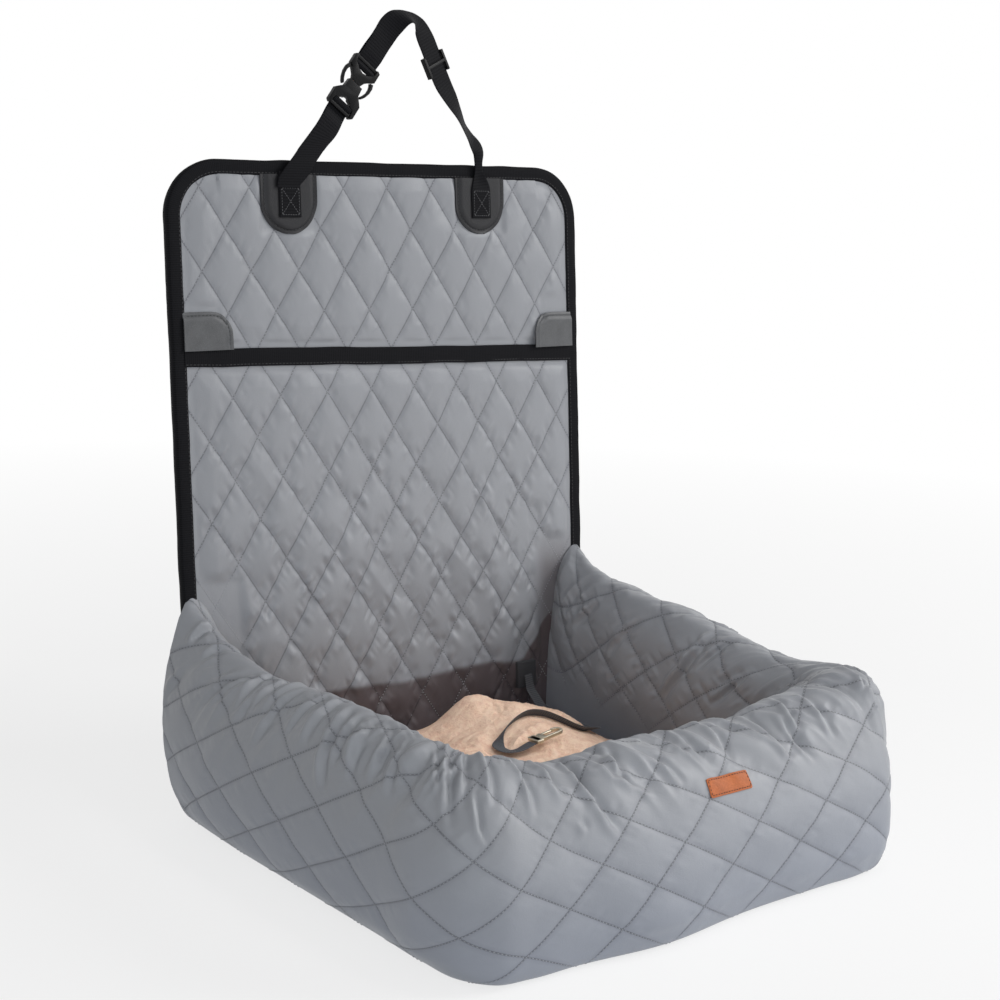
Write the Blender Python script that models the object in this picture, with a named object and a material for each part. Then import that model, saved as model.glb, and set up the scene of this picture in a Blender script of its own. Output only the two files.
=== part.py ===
"""Dog car seat: a quilted back panel folded up from a bed with padded bolsters and a plush cushion.

The origin is the middle of the base's flat underside. +X is to the right seen from the front, +Y to the
back and +Z up. Lengths are metres.
"""
import math

import bmesh
import bpy
from mathutils import Matrix, Vector

# Clearances and helpers that every piece shares
GAP = 0.0003
OVERRUN = 0.006

# Back panel: outline, lean and quilting
PANEL_WIDTH = 0.510
PANEL_HEIGHT = 0.6442
PANEL_FOOT = 0.0042
PANEL_CORNER_RADIUS = 0.057
PANEL_LEAN = math.radians(5.7)
FOLD_HEIGHT = 0.2332
FOLD_FORWARD = 0.0003
FOLD_GAP = 0.0006
FOLD_QUILT_GAP = 0.0026
RECLINE_LIMIT = math.radians(30.0)
FORWARD_LIMIT = math.radians(95.0)
FACING_THICKNESS = 0.0030
POCKET_THICKNESS = 0.0013
FOAM_THICKNESS = 0.0045
BACKING_THICKNESS = 0.0026
BINDING_WALL = 0.0012
BINDING_WIDTH = 0.0150
QUILT_HALF_WIDTH = 0.0275
QUILT_HALF_HEIGHT = 0.0411
QUILT_NODE_U = 0.001
QUILT_NODE_V = 0.5357
QUILT_RISE = 0.0032
QUILT_SEAM = 0.0006
QUILT_FADE = 0.016
POCKET_MOUTH_LOW = 0.4385
POCKET_MOUTH_HIGH = 0.4565
MOUTH_BAND_RISE = 0.0016
LOWER_QUILT_WIDTH = 0.372
LOWER_QUILT_FOOT = 0.036

# Leatherette tabs and patches on the back panel
LEATHER_THICKNESS = 0.0014
TAB_WIDTH = 0.050
TAB_HEIGHT = 0.0385
TAB_RADIUS = 0.022
PATCH_OFFSET = 0.1192
PATCH_WIDTH = 0.065
PATCH_FOOT = 0.5715

# Webbing
WEBBING_WIDTH = 0.025
WEBBING_THICKNESS = 0.0013
SEW_FOOT = 0.5880
STRAP_HINGE_GAP = 0.00045
LEFT_LEG_FOOT_U = -0.0979
LEFT_LEG_ANGLE = math.radians(52.5)
RIGHT_LEG_FOOT_U = 0.1165

# Side-release buckle
BUCKLE_START = 0.0635
BUCKLE_LENGTH = 0.0610
BUCKLE_WIDTH = 0.0340
BUCKLE_THICKNESS = 0.0060
BUCKLE_BAR_WIDTH = 0.0032
BUCKLE_BAR_THICKNESS = 0.0030
FEMALE_LENGTH = 0.0340
TONGUE_LENGTH = 0.0093
TONGUE_THICKNESS = 0.0026
TONGUE_TIP_WIDTH = 0.0040
TONGUE_ROOT_WIDTH = 0.0098
WAIST_WIDTH = 0.0170
ARM_THICKNESS = 0.0040
WRAP_FLARE = 0.0060

# Tri-glide adjuster
GLIDE_WIDTH = 0.0310
GLIDE_LENGTH = 0.0220
GLIDE_THICKNESS = 0.0056
GLIDE_BAR = 0.0032

# Base and floor
BASE_WIDTH = 0.500
BASE_DEPTH = 0.463
BASE_CORNER_RADIUS = 0.045
UNDERSIDE_THICKNESS = 0.0025
UNDERSIDE_INSET = 0.003
BOARD_THICKNESS = 0.0040
BOARD_INSET = 0.005
FLOOR_FOAM_THICKNESS = 0.0150
FLOOR_QUILT_THICKNESS = 0.0035
FLOOR_WIDTH = 0.376
FLOOR_FRONT = 0.112

# Bolsters
INNER_HALF_WIDTH = 0.195
INNER_FRONT = 0.120
INNER_CORNER_RADIUS = 0.025
TIP_HEIGHT = 0.2205
FRONT_CREST_HEIGHT = 0.1565
SIDE_BULGE = 0.031
FRONT_BULGE = 0.011
BOLSTER_QUILT_RISE = 0.0030
COVER_WALL = 0.0055
FILL_GAP = 0.0006
FILL_CLEARANCE = 0.0012
BOLSTER_FACE_GAP = 0.0018

# Label
LABEL_WIDTH = 0.050
LABEL_HEIGHT = 0.019
LABEL_THICKNESS = 0.0013
LABEL_X = 0.020

# Cushion
CUSHION_LEFT = -0.178
CUSHION_RIGHT = 0.166
CUSHION_FRONT = -0.107
CUSHION_BACK = 0.208
CUSHION_SLIT_LENGTH = 0.110
CUSHION_CROWN = 0.044
CUSHION_SIDE_HEIGHT = 0.020
HUMP_X = 0.060
HUMP_Y = 0.120
HUMP_RISE = 0.030
HUMP_SPREAD = 0.050
CUSHION_WALL = 0.0060

# Zip on the bottom left edge
ZIP_CHAIN_WIDTH = 0.0040
ZIP_CHAIN_THICKNESS = 0.0026
ZIP_CHAIN_LIFT = 0.0016
ZIP_FRONT_INSET = 0.0815
ZIP_BACK_INSET = 0.0095
SLIDER_LENGTH = 0.0100
SLIDER_BACK_INSET = 0.0185
SLIDER_WALL = 0.0010
PULL_LENGTH = 0.0140
PULL_WIDTH = 0.0046
PULL_THICKNESS = 0.0012

# Tether and snap hook
TETHER_WIDTH = 0.0120
TETHER_THICKNESS = 0.0010
TETHER_LIFT = 0.0016
TETHER_HINGE_GAP = 0.0008
ANCHOR_WIDTH = 0.026
ANCHOR_HEIGHT = 0.030
ANCHOR_THICKNESS = 0.0060
ANCHOR_U = 0.165
ANCHOR_V = 0.084
HOOK_LENGTH = 0.030
HOOK_WIDTH = 0.0125
HOOK_THICKNESS = 0.0036
HOOK_BAR = 0.0030
HOOK_EYE_LENGTH = 0.0085
HOOK_EYE_WIDTH = 0.0165
HOOK_GATE_GAP = 0.0009
HOOK_LIFT = 0.0070
TETHER_END_RISE = 0.0050

# Ends of the zip and place of its slider, from the base's depth
ZIP_FRONT = ZIP_FRONT_INSET - BASE_DEPTH / 2
ZIP_BACK = BASE_DEPTH / 2 - ZIP_BACK_INSET
SLIDER_Y = BASE_DEPTH / 2 - SLIDER_BACK_INSET

# Buckle release: how far the loop's right side swings to free the male half
UNCLIP_LIMIT = math.radians(12.0)

# Steps round curves
CORNER_STEPS = 6
SIDE_STEPS = 8
TURN_STEPS = 3
FRONT_STEPS = 8
CUSHION_STEPS = 36
END_RISE_STEPS = 7

# Bolster section, as shares across it and of its height
SECTION_SHARES = ((0.30, 0.0), (0.13, 0.09), (0.03, 0.27), (0.0, 0.47), (0.05, 0.67), (0.18, 0.85), (0.40, 0.97),
                  (0.64, 0.99), (0.84, 0.88), (0.96, 0.68), (1.0, 0.45), (0.99, 0.22), (0.95, 0.0), (0.73, 0.0),
                  (0.51, 0.0))
TIP_SHARES = ((0.30, 0.0), (0.14, 0.09), (0.06, 0.24), (0.03, 0.42), (0.07, 0.60), (0.16, 0.78), (0.29, 0.93),
              (0.40, 1.0), (0.55, 0.97), (0.71, 0.86), (0.84, 0.62), (0.94, 0.34), (0.95, 0.0), (0.73, 0.0),
              (0.51, 0.0))
FRONT_SHARES = ((0.07, 0.0), (0.01, 0.09), (-0.01, 0.27), (0.0, 0.47), (0.07, 0.67), (0.22, 0.86), (0.42, 0.97),
                (0.62, 1.0), (0.80, 0.90), (0.93, 0.70), (1.0, 0.46), (0.99, 0.22), (0.95, 0.0), (0.66, 0.0),
                (0.36, 0.0))
SIDE_PLACE_SHARES = (0.0, 0.07, 0.19, 0.32, 0.455, 0.59, 0.725, 0.86, 1.0)
TIP_BLEND_SHARES = (1.0, 0.6, 0.2, 0.0)
LEFT_CREST_SHARES = (1.0, 0.60, 0.33, 0.24, 0.22, 0.22, 0.22, 0.20, 0.16)
CORNER_CREST_SHARES = (0.10, 0.04)
FRONT_CREST_SHARES = (0.0, 0.0, 0.0, 0.0, 0.0, 0.02, 0.06, 0.12, 0.20)
RIGHT_CORNER_CREST_SHARES = (0.24, 0.26)
RIGHT_CREST_SHARES = (0.26, 0.28, 0.36, 0.44, 0.48, 0.53, 0.62, 0.80, 1.0)

# How a bolster's inner wall follows its outer one, as shares of the wall and of the section
WALL_SLOPE_SHARE = 1.15
FOOT_INSET_SHARE = 1.6
FOOT_MIDDLE_SHARE = 0.62
MIDDLE_HEIGHT_SHARE = 0.45

# Snap hook: the eye's neck as a share of the bar, and the gate's end as a share of the hook's width
EYE_NECK_SHARE = 0.7
GATE_END_SHARE = 0.75

# Cushion rings, as shares of the half size, of the crown and of the side
CUSHION_RING_SHARES = ((0.0, 1.0), (0.25, 0.985), (0.5, 0.92), (0.7, 0.79), (0.85, 0.60), (0.95, 0.38), (1.0, 0.10))
CUSHION_SIDE_SHARES = ((0.985, 0.45), (0.93, 0.0))

# Buckle outlines, as shares of its length and of its half width
FEMALE_OUTLINE_SHARES = ((0.0, 0.86), (0.03, 1.0), (0.27, 1.0), (0.33, 0.82), (0.40, 0.56))
FEMALE_WINDOW_SHARES = ((0.14, 0.70), (0.165, 0.44), (0.205, 0.38), (0.23, 0.15), (0.26, 0.12))
MALE_OUTLINE_SHARES = ((0.66, 0.46), (0.745, 0.77), (0.79, 1.0), (0.975, 1.0), (1.0, 0.86))
MALE_WINDOW_SHARES = ((0.86, 0.68), (0.80, 0.36), (0.775, 0.0))
ARM_OUTLINE_SHARES = ((0.765, 1.03), (0.69, 1.12), (0.59, 1.11), (0.49, 1.0), (0.42, 0.85), (0.395, 0.74),
                      (0.425, 0.67), (0.49, 0.82), (0.57, 0.93), (0.65, 0.94), (0.71, 0.87), (0.7375, 0.79))
ARM_PIVOT_SHARES = (0.752, 0.91)

# Centre line of the headrest strap beyond the male half, as shares of the apex rise and of its spread
APEX_RISE = 0.0550
APEX_SPREAD = 0.1380
STRAP_SHARES = ((0.137, 0.450), (0.225, 0.720), (0.310, 0.872), (0.372, 0.905), (0.430, 0.865), (0.475, 0.770),
                (0.522, 0.565), (0.617, 0.059), (0.680, -0.277), (0.765, -0.598), (0.829, -0.855), (0.880, -1.100),
                (0.946, -1.340), (1.004, -1.560), (1.004, -1.700))
STRAP_TWIST_DEGREES = (0.0, 18.0, 42.0, 58.0, 46.0, 24.0, 9.0, 9.0, 9.0, 22.0, 38.0, 46.0, 38.0, 12.0, 0.0)

# Route of the tether over the cushion, in plan
TETHER_ROUTE = ((0.165, 0.2345), (0.1662, 0.224), (0.1668, 0.205), (0.1650, 0.175), (0.1610, 0.140), (0.1540, 0.108),
                (0.1400, 0.085), (0.1220, 0.068), (0.1060, 0.064), (0.0900, 0.073), (0.0710, 0.084),
                (0.0520, 0.089), (0.0330, 0.087), (0.0150, 0.081), (0.0010, 0.072), (-0.0070, 0.060),
                (-0.0050, 0.048), (0.0030, 0.042), (0.0120, 0.041), (0.0200, 0.0415))

COLOURS = {
    "fabric": ((0.262, 0.270, 0.286), 0.75, 0.0),
    "lining": ((0.030, 0.030, 0.033), 0.85, 0.0),
    "binding": ((0.008, 0.008, 0.009), 0.70, 0.0),
    "leather": ((0.062, 0.062, 0.068), 0.45, 0.0),
    "webbing": ((0.007, 0.007, 0.008), 0.65, 0.0),
    "plastic": ((0.010, 0.010, 0.011), 0.40, 0.0),
    "foam": ((0.72, 0.70, 0.62), 0.90, 0.0),
    "board": ((0.20, 0.14, 0.09), 0.80, 0.0),
    "label": ((0.52, 0.13, 0.04), 0.50, 0.0),
    "plush": ((0.68, 0.38, 0.25), 0.95, 0.0),
    "metal": ((0.62, 0.56, 0.42), 0.30, 1.0),
    "zip": ((0.10, 0.10, 0.11), 0.45, 0.2),
}


def clear_scene():
    """Remove what the scene holds."""
    for item in list(bpy.data.objects):
        bpy.data.objects.remove(item, do_unlink=True)


def make_collection(name):
    """Add a collection to the scene."""
    group = bpy.data.collections.new(name)
    bpy.context.scene.collection.children.link(group)
    return group


def make_material(node, slot):
    """Give a node its own Principled material."""
    colour, roughness, metallic = COLOURS[slot]
    material = bpy.data.materials.new(node + "_" + slot)
    material.use_nodes = True
    shader = material.node_tree.nodes["Principled BSDF"]
    shader.inputs["Base Color"].default_value = (*colour, 1.0)
    shader.inputs["Roughness"].default_value = roughness
    shader.inputs["Metallic"].default_value = metallic
    material.diffuse_color = (*colour, 1.0)
    return material


clear_scene()
PARTS = make_collection("dog_car_seat")
CUTTERS = make_collection("dog_car_seat_cutters")


def add_object(name, mesh_data, slot=None):
    """Turn a bmesh into a named part, or into a cutter where no slot is given."""
    bmesh.ops.recalc_face_normals(mesh_data, faces=mesh_data.faces)
    if mesh_data.calc_volume(signed=True) < 0.0:
        bmesh.ops.reverse_faces(mesh_data, faces=mesh_data.faces)
    mesh = bpy.data.meshes.new(name)
    mesh_data.to_mesh(mesh)
    mesh_data.free()
    item = bpy.data.objects.new(name, mesh)
    if slot:
        mesh.materials.append(make_material(name, slot))
        PARTS.objects.link(item)
    else:
        CUTTERS.objects.link(item)
        item.hide_render = True
        item.display_type = "WIRE"
    return item


def combine(item, other, operation="DIFFERENCE"):
    """Cut an object by a cutter, or join the two."""
    modifier = item.modifiers.new(operation.lower(), "BOOLEAN")
    modifier.operation = operation
    modifier.solver = "EXACT"
    modifier.object = other
    return item


def prism(name, outline, low, high, place, slot=None):
    """Extrude a flat outline between two depths of a frame, which place() turns into world points."""
    shape = bmesh.new()
    face = shape.faces.new([shape.verts.new((a, b, low)) for a, b in outline])
    moved = bmesh.ops.extrude_face_region(shape, geom=[face])
    bmesh.ops.translate(shape, verts=[v for v in moved["geom"] if isinstance(v, bmesh.types.BMVert)],
                        vec=(0.0, 0.0, high - low))
    for vert in shape.verts:
        vert.co = place(*vert.co)
    return add_object(name, shape, slot)


def loft(name, rings, slot=None):
    """Skin closed rings of equal count and cap both ends."""
    shape = bmesh.new()
    rows = [[shape.verts.new(point) for point in ring] for ring in rings]
    count = len(rings[0])
    for row, following in zip(rows, rows[1:]):
        for i in range(count):
            j = (i + 1) % count
            shape.faces.new((row[i], row[j], following[j], following[i]))
    shape.faces.new(rows[0])
    shape.faces.new(rows[-1])
    bmesh.ops.triangulate(shape, faces=shape.faces, quad_method="FIXED")
    return add_object(name, shape, slot)


def rounded_outline(left, right, low, high, radii):
    """Outline of a rectangle with a radius at each corner: low left, low right, high right, high left."""
    corners = ((left, low, 180.0), (right, low, 270.0), (right, high, 0.0), (left, high, 90.0))
    points = []
    for (x, y, start), radius in zip(corners, radii):
        if radius <= 0.0:
            points.append((x, y))
            continue
        centre_x = x + radius if x == left else x - radius
        centre_y = y + radius if y == low else y - radius
        for step in range(CORNER_STEPS + 1):
            angle = math.radians(start + 90.0 * step / CORNER_STEPS)
            points.append((centre_x + radius * math.cos(angle), centre_y + radius * math.sin(angle)))
    return points


def world(x, y, z):
    """Place a point given in the object's own frame."""
    return Vector((x, y, z))


def on_panel(u, v, n):
    """Place a point given across, up and out of the back panel's front face."""
    sine, cosine = math.sin(PANEL_LEAN), math.cos(PANEL_LEAN)
    return Vector((u, BASE_DEPTH / 2 + v * sine - n * cosine, v * cosine + n * sine))


UPPER_EDGE = FOLD_HEIGHT + FOLD_GAP / 2
LOWER_EDGE = FOLD_HEIGHT - FOLD_GAP / 2


def at_fold(u, v, n):
    """Place a panel point, with the edges at the fold sloped away from it so that the panel can turn."""
    side = 1.0 if v >= FOLD_HEIGHT else -1.0
    if abs(v - FOLD_HEIGHT) <= FOLD_GAP:
        turn = RECLINE_LIMIT if n < FOLD_FORWARD else FORWARD_LIMIT
        v += side * abs(n - FOLD_FORWARD) * math.tan(turn / 2)
    return on_panel(u, v, n)


# Depths of the layers behind the panel's front face
FOAM_FRONT = FACING_THICKNESS + GAP
FOAM_BACK = FOAM_FRONT + FOAM_THICKNESS
BACKING_FRONT = FOAM_BACK + GAP
BACKING_BACK = BACKING_FRONT + BACKING_THICKNESS
FLANGE_BACK = BACKING_BACK + GAP + BINDING_WALL
HALF_PANEL = PANEL_WIDTH / 2
INSET_LAYER = BINDING_WALL + GAP
FLANGE_FRONT_FACE = GAP + BINDING_WALL
QUILT_PEAK = QUILT_SEAM + QUILT_RISE


def panel_outline(inset, low, high_inset=None):
    """Outline of the upper panel inset from its edge, square at the fold."""
    top = PANEL_HEIGHT - (inset if high_inset is None else high_inset)
    radius = PANEL_CORNER_RADIUS - inset
    return rounded_outline(-HALF_PANEL + inset, HALF_PANEL - inset, low, top, (0.0, 0.0, radius, radius))


def quilt_height(u, v, edges):
    """Height of the quilting over the facing: diamonds that sink to their seams and fade at the edges."""
    s, t = (u - QUILT_NODE_U) / QUILT_HALF_WIDTH, (v - QUILT_NODE_V) / QUILT_HALF_HEIGHT
    rise = 1.0
    for diagonal in (s + t, s - t):
        rise *= 1.0 - (diagonal % 2.0 - 1.0) ** 2
    left, right, low, high = edges
    near = max(min(u - left, right - u, v - low, high - v), 0.0)
    return QUILT_SEAM + QUILT_RISE * rise ** 0.5 * min(near / QUILT_FADE, 1.0) ** 0.5


def quilt_block(name, edges, depth):
    """A block whose front is quilted, from a depth behind the facing's front."""
    left, right, low, high = edges
    step_u, step_v = QUILT_HALF_WIDTH / 2, QUILT_HALF_HEIGHT / 2
    first_i, last_i = math.floor((left - QUILT_NODE_U) / step_u), math.ceil((right - QUILT_NODE_U) / step_u)
    first_j, last_j = math.floor((low - QUILT_NODE_V) / step_v), math.ceil((high - QUILT_NODE_V) / step_v)
    shape = bmesh.new()
    grid = {}
    for i in range(first_i, last_i + 1):
        for j in range(first_j, last_j + 1):
            u, v = QUILT_NODE_U + i * step_u, QUILT_NODE_V + j * step_v
            grid[i, j] = shape.verts.new(on_panel(u, v, quilt_height(u, v, edges)))
    for i in range(first_i, last_i):
        for j in range(first_j, last_j):
            a, b, c, d = grid[i, j], grid[i + 1, j], grid[i + 1, j + 1], grid[i, j + 1]
            if (i + j + 1) % 4 == 0 or ((i - j) % 4 != 0 and (i + j) % 4 == 1):
                shape.faces.new((a, b, d))
                shape.faces.new((b, c, d))
            else:
                shape.faces.new((a, b, c))
                shape.faces.new((a, c, d))
    rim = [(i, first_j) for i in range(first_i, last_i)] + [(last_i, j) for j in range(first_j, last_j)]
    rim += [(i, last_j) for i in range(last_i, first_i, -1)] + [(first_i, j) for j in range(last_j, first_j, -1)]
    foot = []
    for i, j in rim:
        u, v = QUILT_NODE_U + i * step_u, QUILT_NODE_V + j * step_v
        foot.append(shape.verts.new(on_panel(u, v, -depth)))
    for k, key in enumerate(rim):
        after = (k + 1) % len(rim)
        shape.faces.new((grid[key], grid[rim[after]], foot[after], foot[k]))
    shape.faces.new(foot)
    return add_object(name, shape)


def quilted(item, name, window, edges, depth):
    """Join quilting, trimmed to a window, on to a facing."""
    block = quilt_block(name + "_quilting", edges, depth)
    trim = prism(name + "_window", window, -OVERRUN, OVERRUN, on_panel)
    combine(block, trim, "INTERSECT")
    return combine(item, block, "UNION")


def build_panel_layers():
    """The upper back panel: facing, pocket, foam, backing and bindings."""
    window_inset = BINDING_WIDTH + GAP
    window_half = HALF_PANEL - window_inset
    window_top = PANEL_HEIGHT - window_inset
    window_radius = PANEL_CORNER_RADIUS - window_inset

    facing_low = POCKET_MOUTH_HIGH + GAP
    upper_facing = prism("upper_facing", panel_outline(INSET_LAYER, facing_low), -FACING_THICKNESS, 0.0,
                         on_panel, "fabric")
    tail = prism("facing_tail", panel_outline(INSET_LAYER, UPPER_EDGE), -FACING_THICKNESS, -POCKET_THICKNESS - GAP,
                 at_fold)
    combine(upper_facing, tail, "UNION")
    quilted(upper_facing, "upper_facing",
            rounded_outline(-window_half, window_half, facing_low, window_top,
                            (0.0, 0.0, window_radius, window_radius)),
            (-window_half, window_half, facing_low, window_top), POCKET_THICKNESS)

    quilt_low = FOLD_HEIGHT + FOLD_QUILT_GAP
    pocket_high = POCKET_MOUTH_LOW - GAP
    half = HALF_PANEL - INSET_LAYER
    pocket = prism("pocket_front", rounded_outline(-half, half, UPPER_EDGE, pocket_high, (0.0,) * 4),
                   -POCKET_THICKNESS, 0.0, at_fold, "fabric")
    quilted(pocket, "pocket_front",
            rounded_outline(-window_half, window_half, quilt_low, pocket_high, (0.0,) * 4),
            (-window_half, window_half, quilt_low, pocket_high), POCKET_THICKNESS / 2)

    prism("pocket_binding", rounded_outline(-window_half, window_half, POCKET_MOUTH_LOW, POCKET_MOUTH_HIGH, (0.0,) * 4),
          -POCKET_THICKNESS, MOUTH_BAND_RISE, on_panel, "binding")
    prism("panel_foam", panel_outline(INSET_LAYER, UPPER_EDGE), -FOAM_BACK, -FOAM_FRONT, at_fold, "foam")
    prism("panel_backing", panel_outline(INSET_LAYER, UPPER_EDGE), -BACKING_BACK, -BACKING_FRONT, at_fold, "lining")

    foot = UPPER_EDGE
    binding = prism("edge_binding", panel_outline(0.0, foot), -FLANGE_BACK, FLANGE_FRONT_FACE, at_fold, "binding")
    slot = prism("edge_binding_slot", panel_outline(BINDING_WALL, foot - OVERRUN), -BACKING_BACK - GAP, GAP, on_panel)
    window = prism("edge_binding_window", panel_outline(BINDING_WIDTH, foot - OVERRUN), -FLANGE_BACK - OVERRUN,
                   FLANGE_FRONT_FACE + OVERRUN, on_panel)
    combine(combine(binding, slot), window)


def build_lower_panel():
    """The lower back panel between the bolsters, below the fold, with a binding on each side."""
    half = HALF_PANEL - INSET_LAYER
    low = PANEL_FOOT
    for node, front, back, slot in (("lower_foam", FOAM_FRONT, FOAM_BACK, "foam"),
                                    ("lower_backing", BACKING_FRONT, BACKING_BACK, "lining")):
        prism(node, rounded_outline(-half, half, low, LOWER_EDGE, (0.0,) * 4), -back, -front, at_fold, slot)
    facing = prism("lower_facing", rounded_outline(-half, half, low, LOWER_EDGE, (0.0,) * 4), -FACING_THICKNESS, 0.0,
                   at_fold, "fabric")
    quilt_half = LOWER_QUILT_WIDTH / 2
    facing_top = FOLD_HEIGHT - FOLD_QUILT_GAP
    quilted(facing, "lower_facing",
            rounded_outline(-quilt_half, quilt_half, LOWER_QUILT_FOOT, facing_top, (0.0,) * 4),
            (-quilt_half, quilt_half, LOWER_QUILT_FOOT, facing_top), FACING_THICKNESS / 2)
    top = LOWER_EDGE
    for side, label in ((-1, "left"), (1, "right")):
        def mirrored(u, v, n, side=side):
            return at_fold(side * u, v, n)
        binding = prism("lower_binding_" + label, rounded_outline(HALF_PANEL - BINDING_WIDTH, HALF_PANEL, low, top,
                                                                  (0.0,) * 4),
                        -FLANGE_BACK, FLANGE_FRONT_FACE, mirrored, "binding")
        slot = prism("lower_binding_slot_" + label,
                     rounded_outline(HALF_PANEL - BINDING_WIDTH - OVERRUN, HALF_PANEL - BINDING_WALL, low - OVERRUN,
                                     top + OVERRUN, (0.0,) * 4), -BACKING_BACK - GAP, GAP, mirrored)
        combine(binding, slot)


def build_leather():
    """Corner tabs at the pocket's mouth and the two U-shaped strap patches."""
    back = QUILT_PEAK + GAP
    edge = HALF_PANEL - BINDING_WIDTH - GAP
    low = POCKET_MOUTH_HIGH + GAP
    for side, label in ((-1, "left"), (1, "right")):
        def mirrored(u, v, n, side=side):
            return on_panel(side * u, v, n)
        prism("pocket_tab_" + label,
              rounded_outline(edge - TAB_WIDTH, edge, low, low + TAB_HEIGHT, (0.0, 0.0, 0.0, TAB_RADIUS)),
              back, back + LEATHER_THICKNESS, mirrored, "leather")
        half = PATCH_WIDTH / 2
        prism("strap_patch_" + label,
              rounded_outline(PATCH_OFFSET - half, PATCH_OFFSET + half, PATCH_FOOT, PANEL_HEIGHT - BINDING_WIDTH - GAP,
                              (half - GAP, half - GAP, 0.0, 0.0)),
              back, back + LEATHER_THICKNESS, mirrored, "leather")


# Webbing depths and the buckle's own frame
STRAP_BACK = QUILT_PEAK + GAP + LEATHER_THICKNESS + GAP
STRAP_MIDDLE = STRAP_BACK + WEBBING_THICKNESS / 2
LEG_FOOT = PANEL_HEIGHT + STRAP_HINGE_GAP
LEG_DIRECTION = (math.cos(LEFT_LEG_ANGLE), math.sin(LEFT_LEG_ANGLE))
LEG_HALF_SPAN = WEBBING_WIDTH / 2 / LEG_DIRECTION[1]


def on_buckle(s, t, n):
    """Place a point given along, across and out of the buckle."""
    along = BUCKLE_START + s
    u = LEFT_LEG_FOOT_U + along * LEG_DIRECTION[0] - t * LEG_DIRECTION[1]
    v = LEG_FOOT + along * LEG_DIRECTION[1] + t * LEG_DIRECTION[0]
    return on_panel(u, v, STRAP_MIDDLE + n)


def buckle_points(shares):
    """Points of a buckle outline from its shares, with its mirror image where it is a half outline."""
    return [(a * BUCKLE_LENGTH, b * BUCKLE_WIDTH / 2) for a, b in shares]


def mirrored_outline(half):
    """Close a half outline with its mirror image."""
    other = [(a, -b) for a, b in reversed(half) if b > 0.0]
    return half + other


def webbing_wrap(name, bar_middle, direction):
    """Webbing folded round a buckle's bar: its side outline drawn across the webbing, less the bar's hole."""
    half_length = BUCKLE_BAR_WIDTH / 2 + GAP + WEBBING_THICKNESS
    half_depth = BUCKLE_BAR_THICKNESS / 2 + GAP + WEBBING_THICKNESS
    web = WEBBING_THICKNESS / 2
    side = [(-half_length, -half_depth / 2), (-half_length, half_depth / 2), (-half_length + web, half_depth),
            (half_length, half_depth), (half_length + WRAP_FLARE, web), (half_length + WRAP_FLARE + web, web),
            (half_length + WRAP_FLARE + web, -web), (half_length + WRAP_FLARE, -web), (half_length, -half_depth),
            (-half_length + web, -half_depth)]

    def across(a, b, c):
        return on_buckle(bar_middle + direction * a, c, b)
    wrap = prism(name, side, -WEBBING_WIDTH / 2, WEBBING_WIDTH / 2, across)
    hole_length, hole_depth = BUCKLE_BAR_WIDTH / 2 + GAP, BUCKLE_BAR_THICKNESS / 2 + GAP
    hole = prism(name + "_hole", rounded_outline(-hole_length, hole_length, -hole_depth, hole_depth, (0.0,) * 4),
                 -WEBBING_WIDTH, WEBBING_WIDTH, across)
    combine(wrap, hole)
    return wrap, half_length + WRAP_FLARE


FEMALE_BAR = BUCKLE_BAR_WIDTH / 2
MALE_BAR = BUCKLE_LENGTH - BUCKLE_BAR_WIDTH / 2
WINDOW_HALF_SPAN = WEBBING_WIDTH / 2 + GAP
BAR_HALF_SPAN = WINDOW_HALF_SPAN + GAP


def bar_cutters(name, bar_middle, window):
    """The window beside a buckle's bar, and the recesses that thin the bar on both faces."""
    outline = mirrored_outline(window)
    cutters = [prism(name + "_window", outline, -BUCKLE_THICKNESS, BUCKLE_THICKNESS, on_buckle)]
    near = bar_middle - BUCKLE_BAR_WIDTH / 2 - OVERRUN
    far = bar_middle + BUCKLE_BAR_WIDTH / 2 + OVERRUN
    inner = BUCKLE_BAR_WIDTH + GAP + WEBBING_THICKNESS + GAP
    if bar_middle < BUCKLE_LENGTH / 2:
        far = inner
    else:
        near = BUCKLE_LENGTH - inner
    for side in (-1, 1):
        low, high = sorted((side * BUCKLE_BAR_THICKNESS / 2, side * BUCKLE_THICKNESS))
        cutters.append(prism(name + "_recess_" + ("back" if side < 0 else "front"),
                             rounded_outline(near, far, -BAR_HALF_SPAN, BAR_HALF_SPAN, (0.0,) * 4), low, high,
                             on_buckle))
    return cutters


def build_sewn_webbing():
    """The strap's ends, sewn on the patches and running up over the panel's top edge."""
    half = WEBBING_WIDTH / 2
    slope = LEG_DIRECTION[0] / LEG_DIRECTION[1]
    top = PANEL_HEIGHT
    foot_u = LEFT_LEG_FOOT_U
    left_edge, right_edge = -PATCH_OFFSET - half, -PATCH_OFFSET + half

    def edge_height(u, side):
        return LEG_FOOT + (u - foot_u - side * LEG_HALF_SPAN) / slope
    lean = (LEG_FOOT - top) * slope
    outline = [(left_edge, SEW_FOOT), (right_edge, SEW_FOOT), (right_edge, edge_height(right_edge, 1)),
               (foot_u + LEG_HALF_SPAN - lean, top), (foot_u - LEG_HALF_SPAN - lean, top),
               (left_edge, edge_height(left_edge, -1))]
    prism("strap_tail_left", outline, STRAP_BACK, STRAP_BACK + WEBBING_THICKNESS, on_panel, "webbing")
    outline = [(PATCH_OFFSET - half, SEW_FOOT), (PATCH_OFFSET + half, SEW_FOOT), (RIGHT_LEG_FOOT_U + half, top),
               (RIGHT_LEG_FOOT_U - half, top)]
    prism("strap_tail_right", outline, STRAP_BACK, STRAP_BACK + WEBBING_THICKNESS, on_panel, "webbing")


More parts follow.
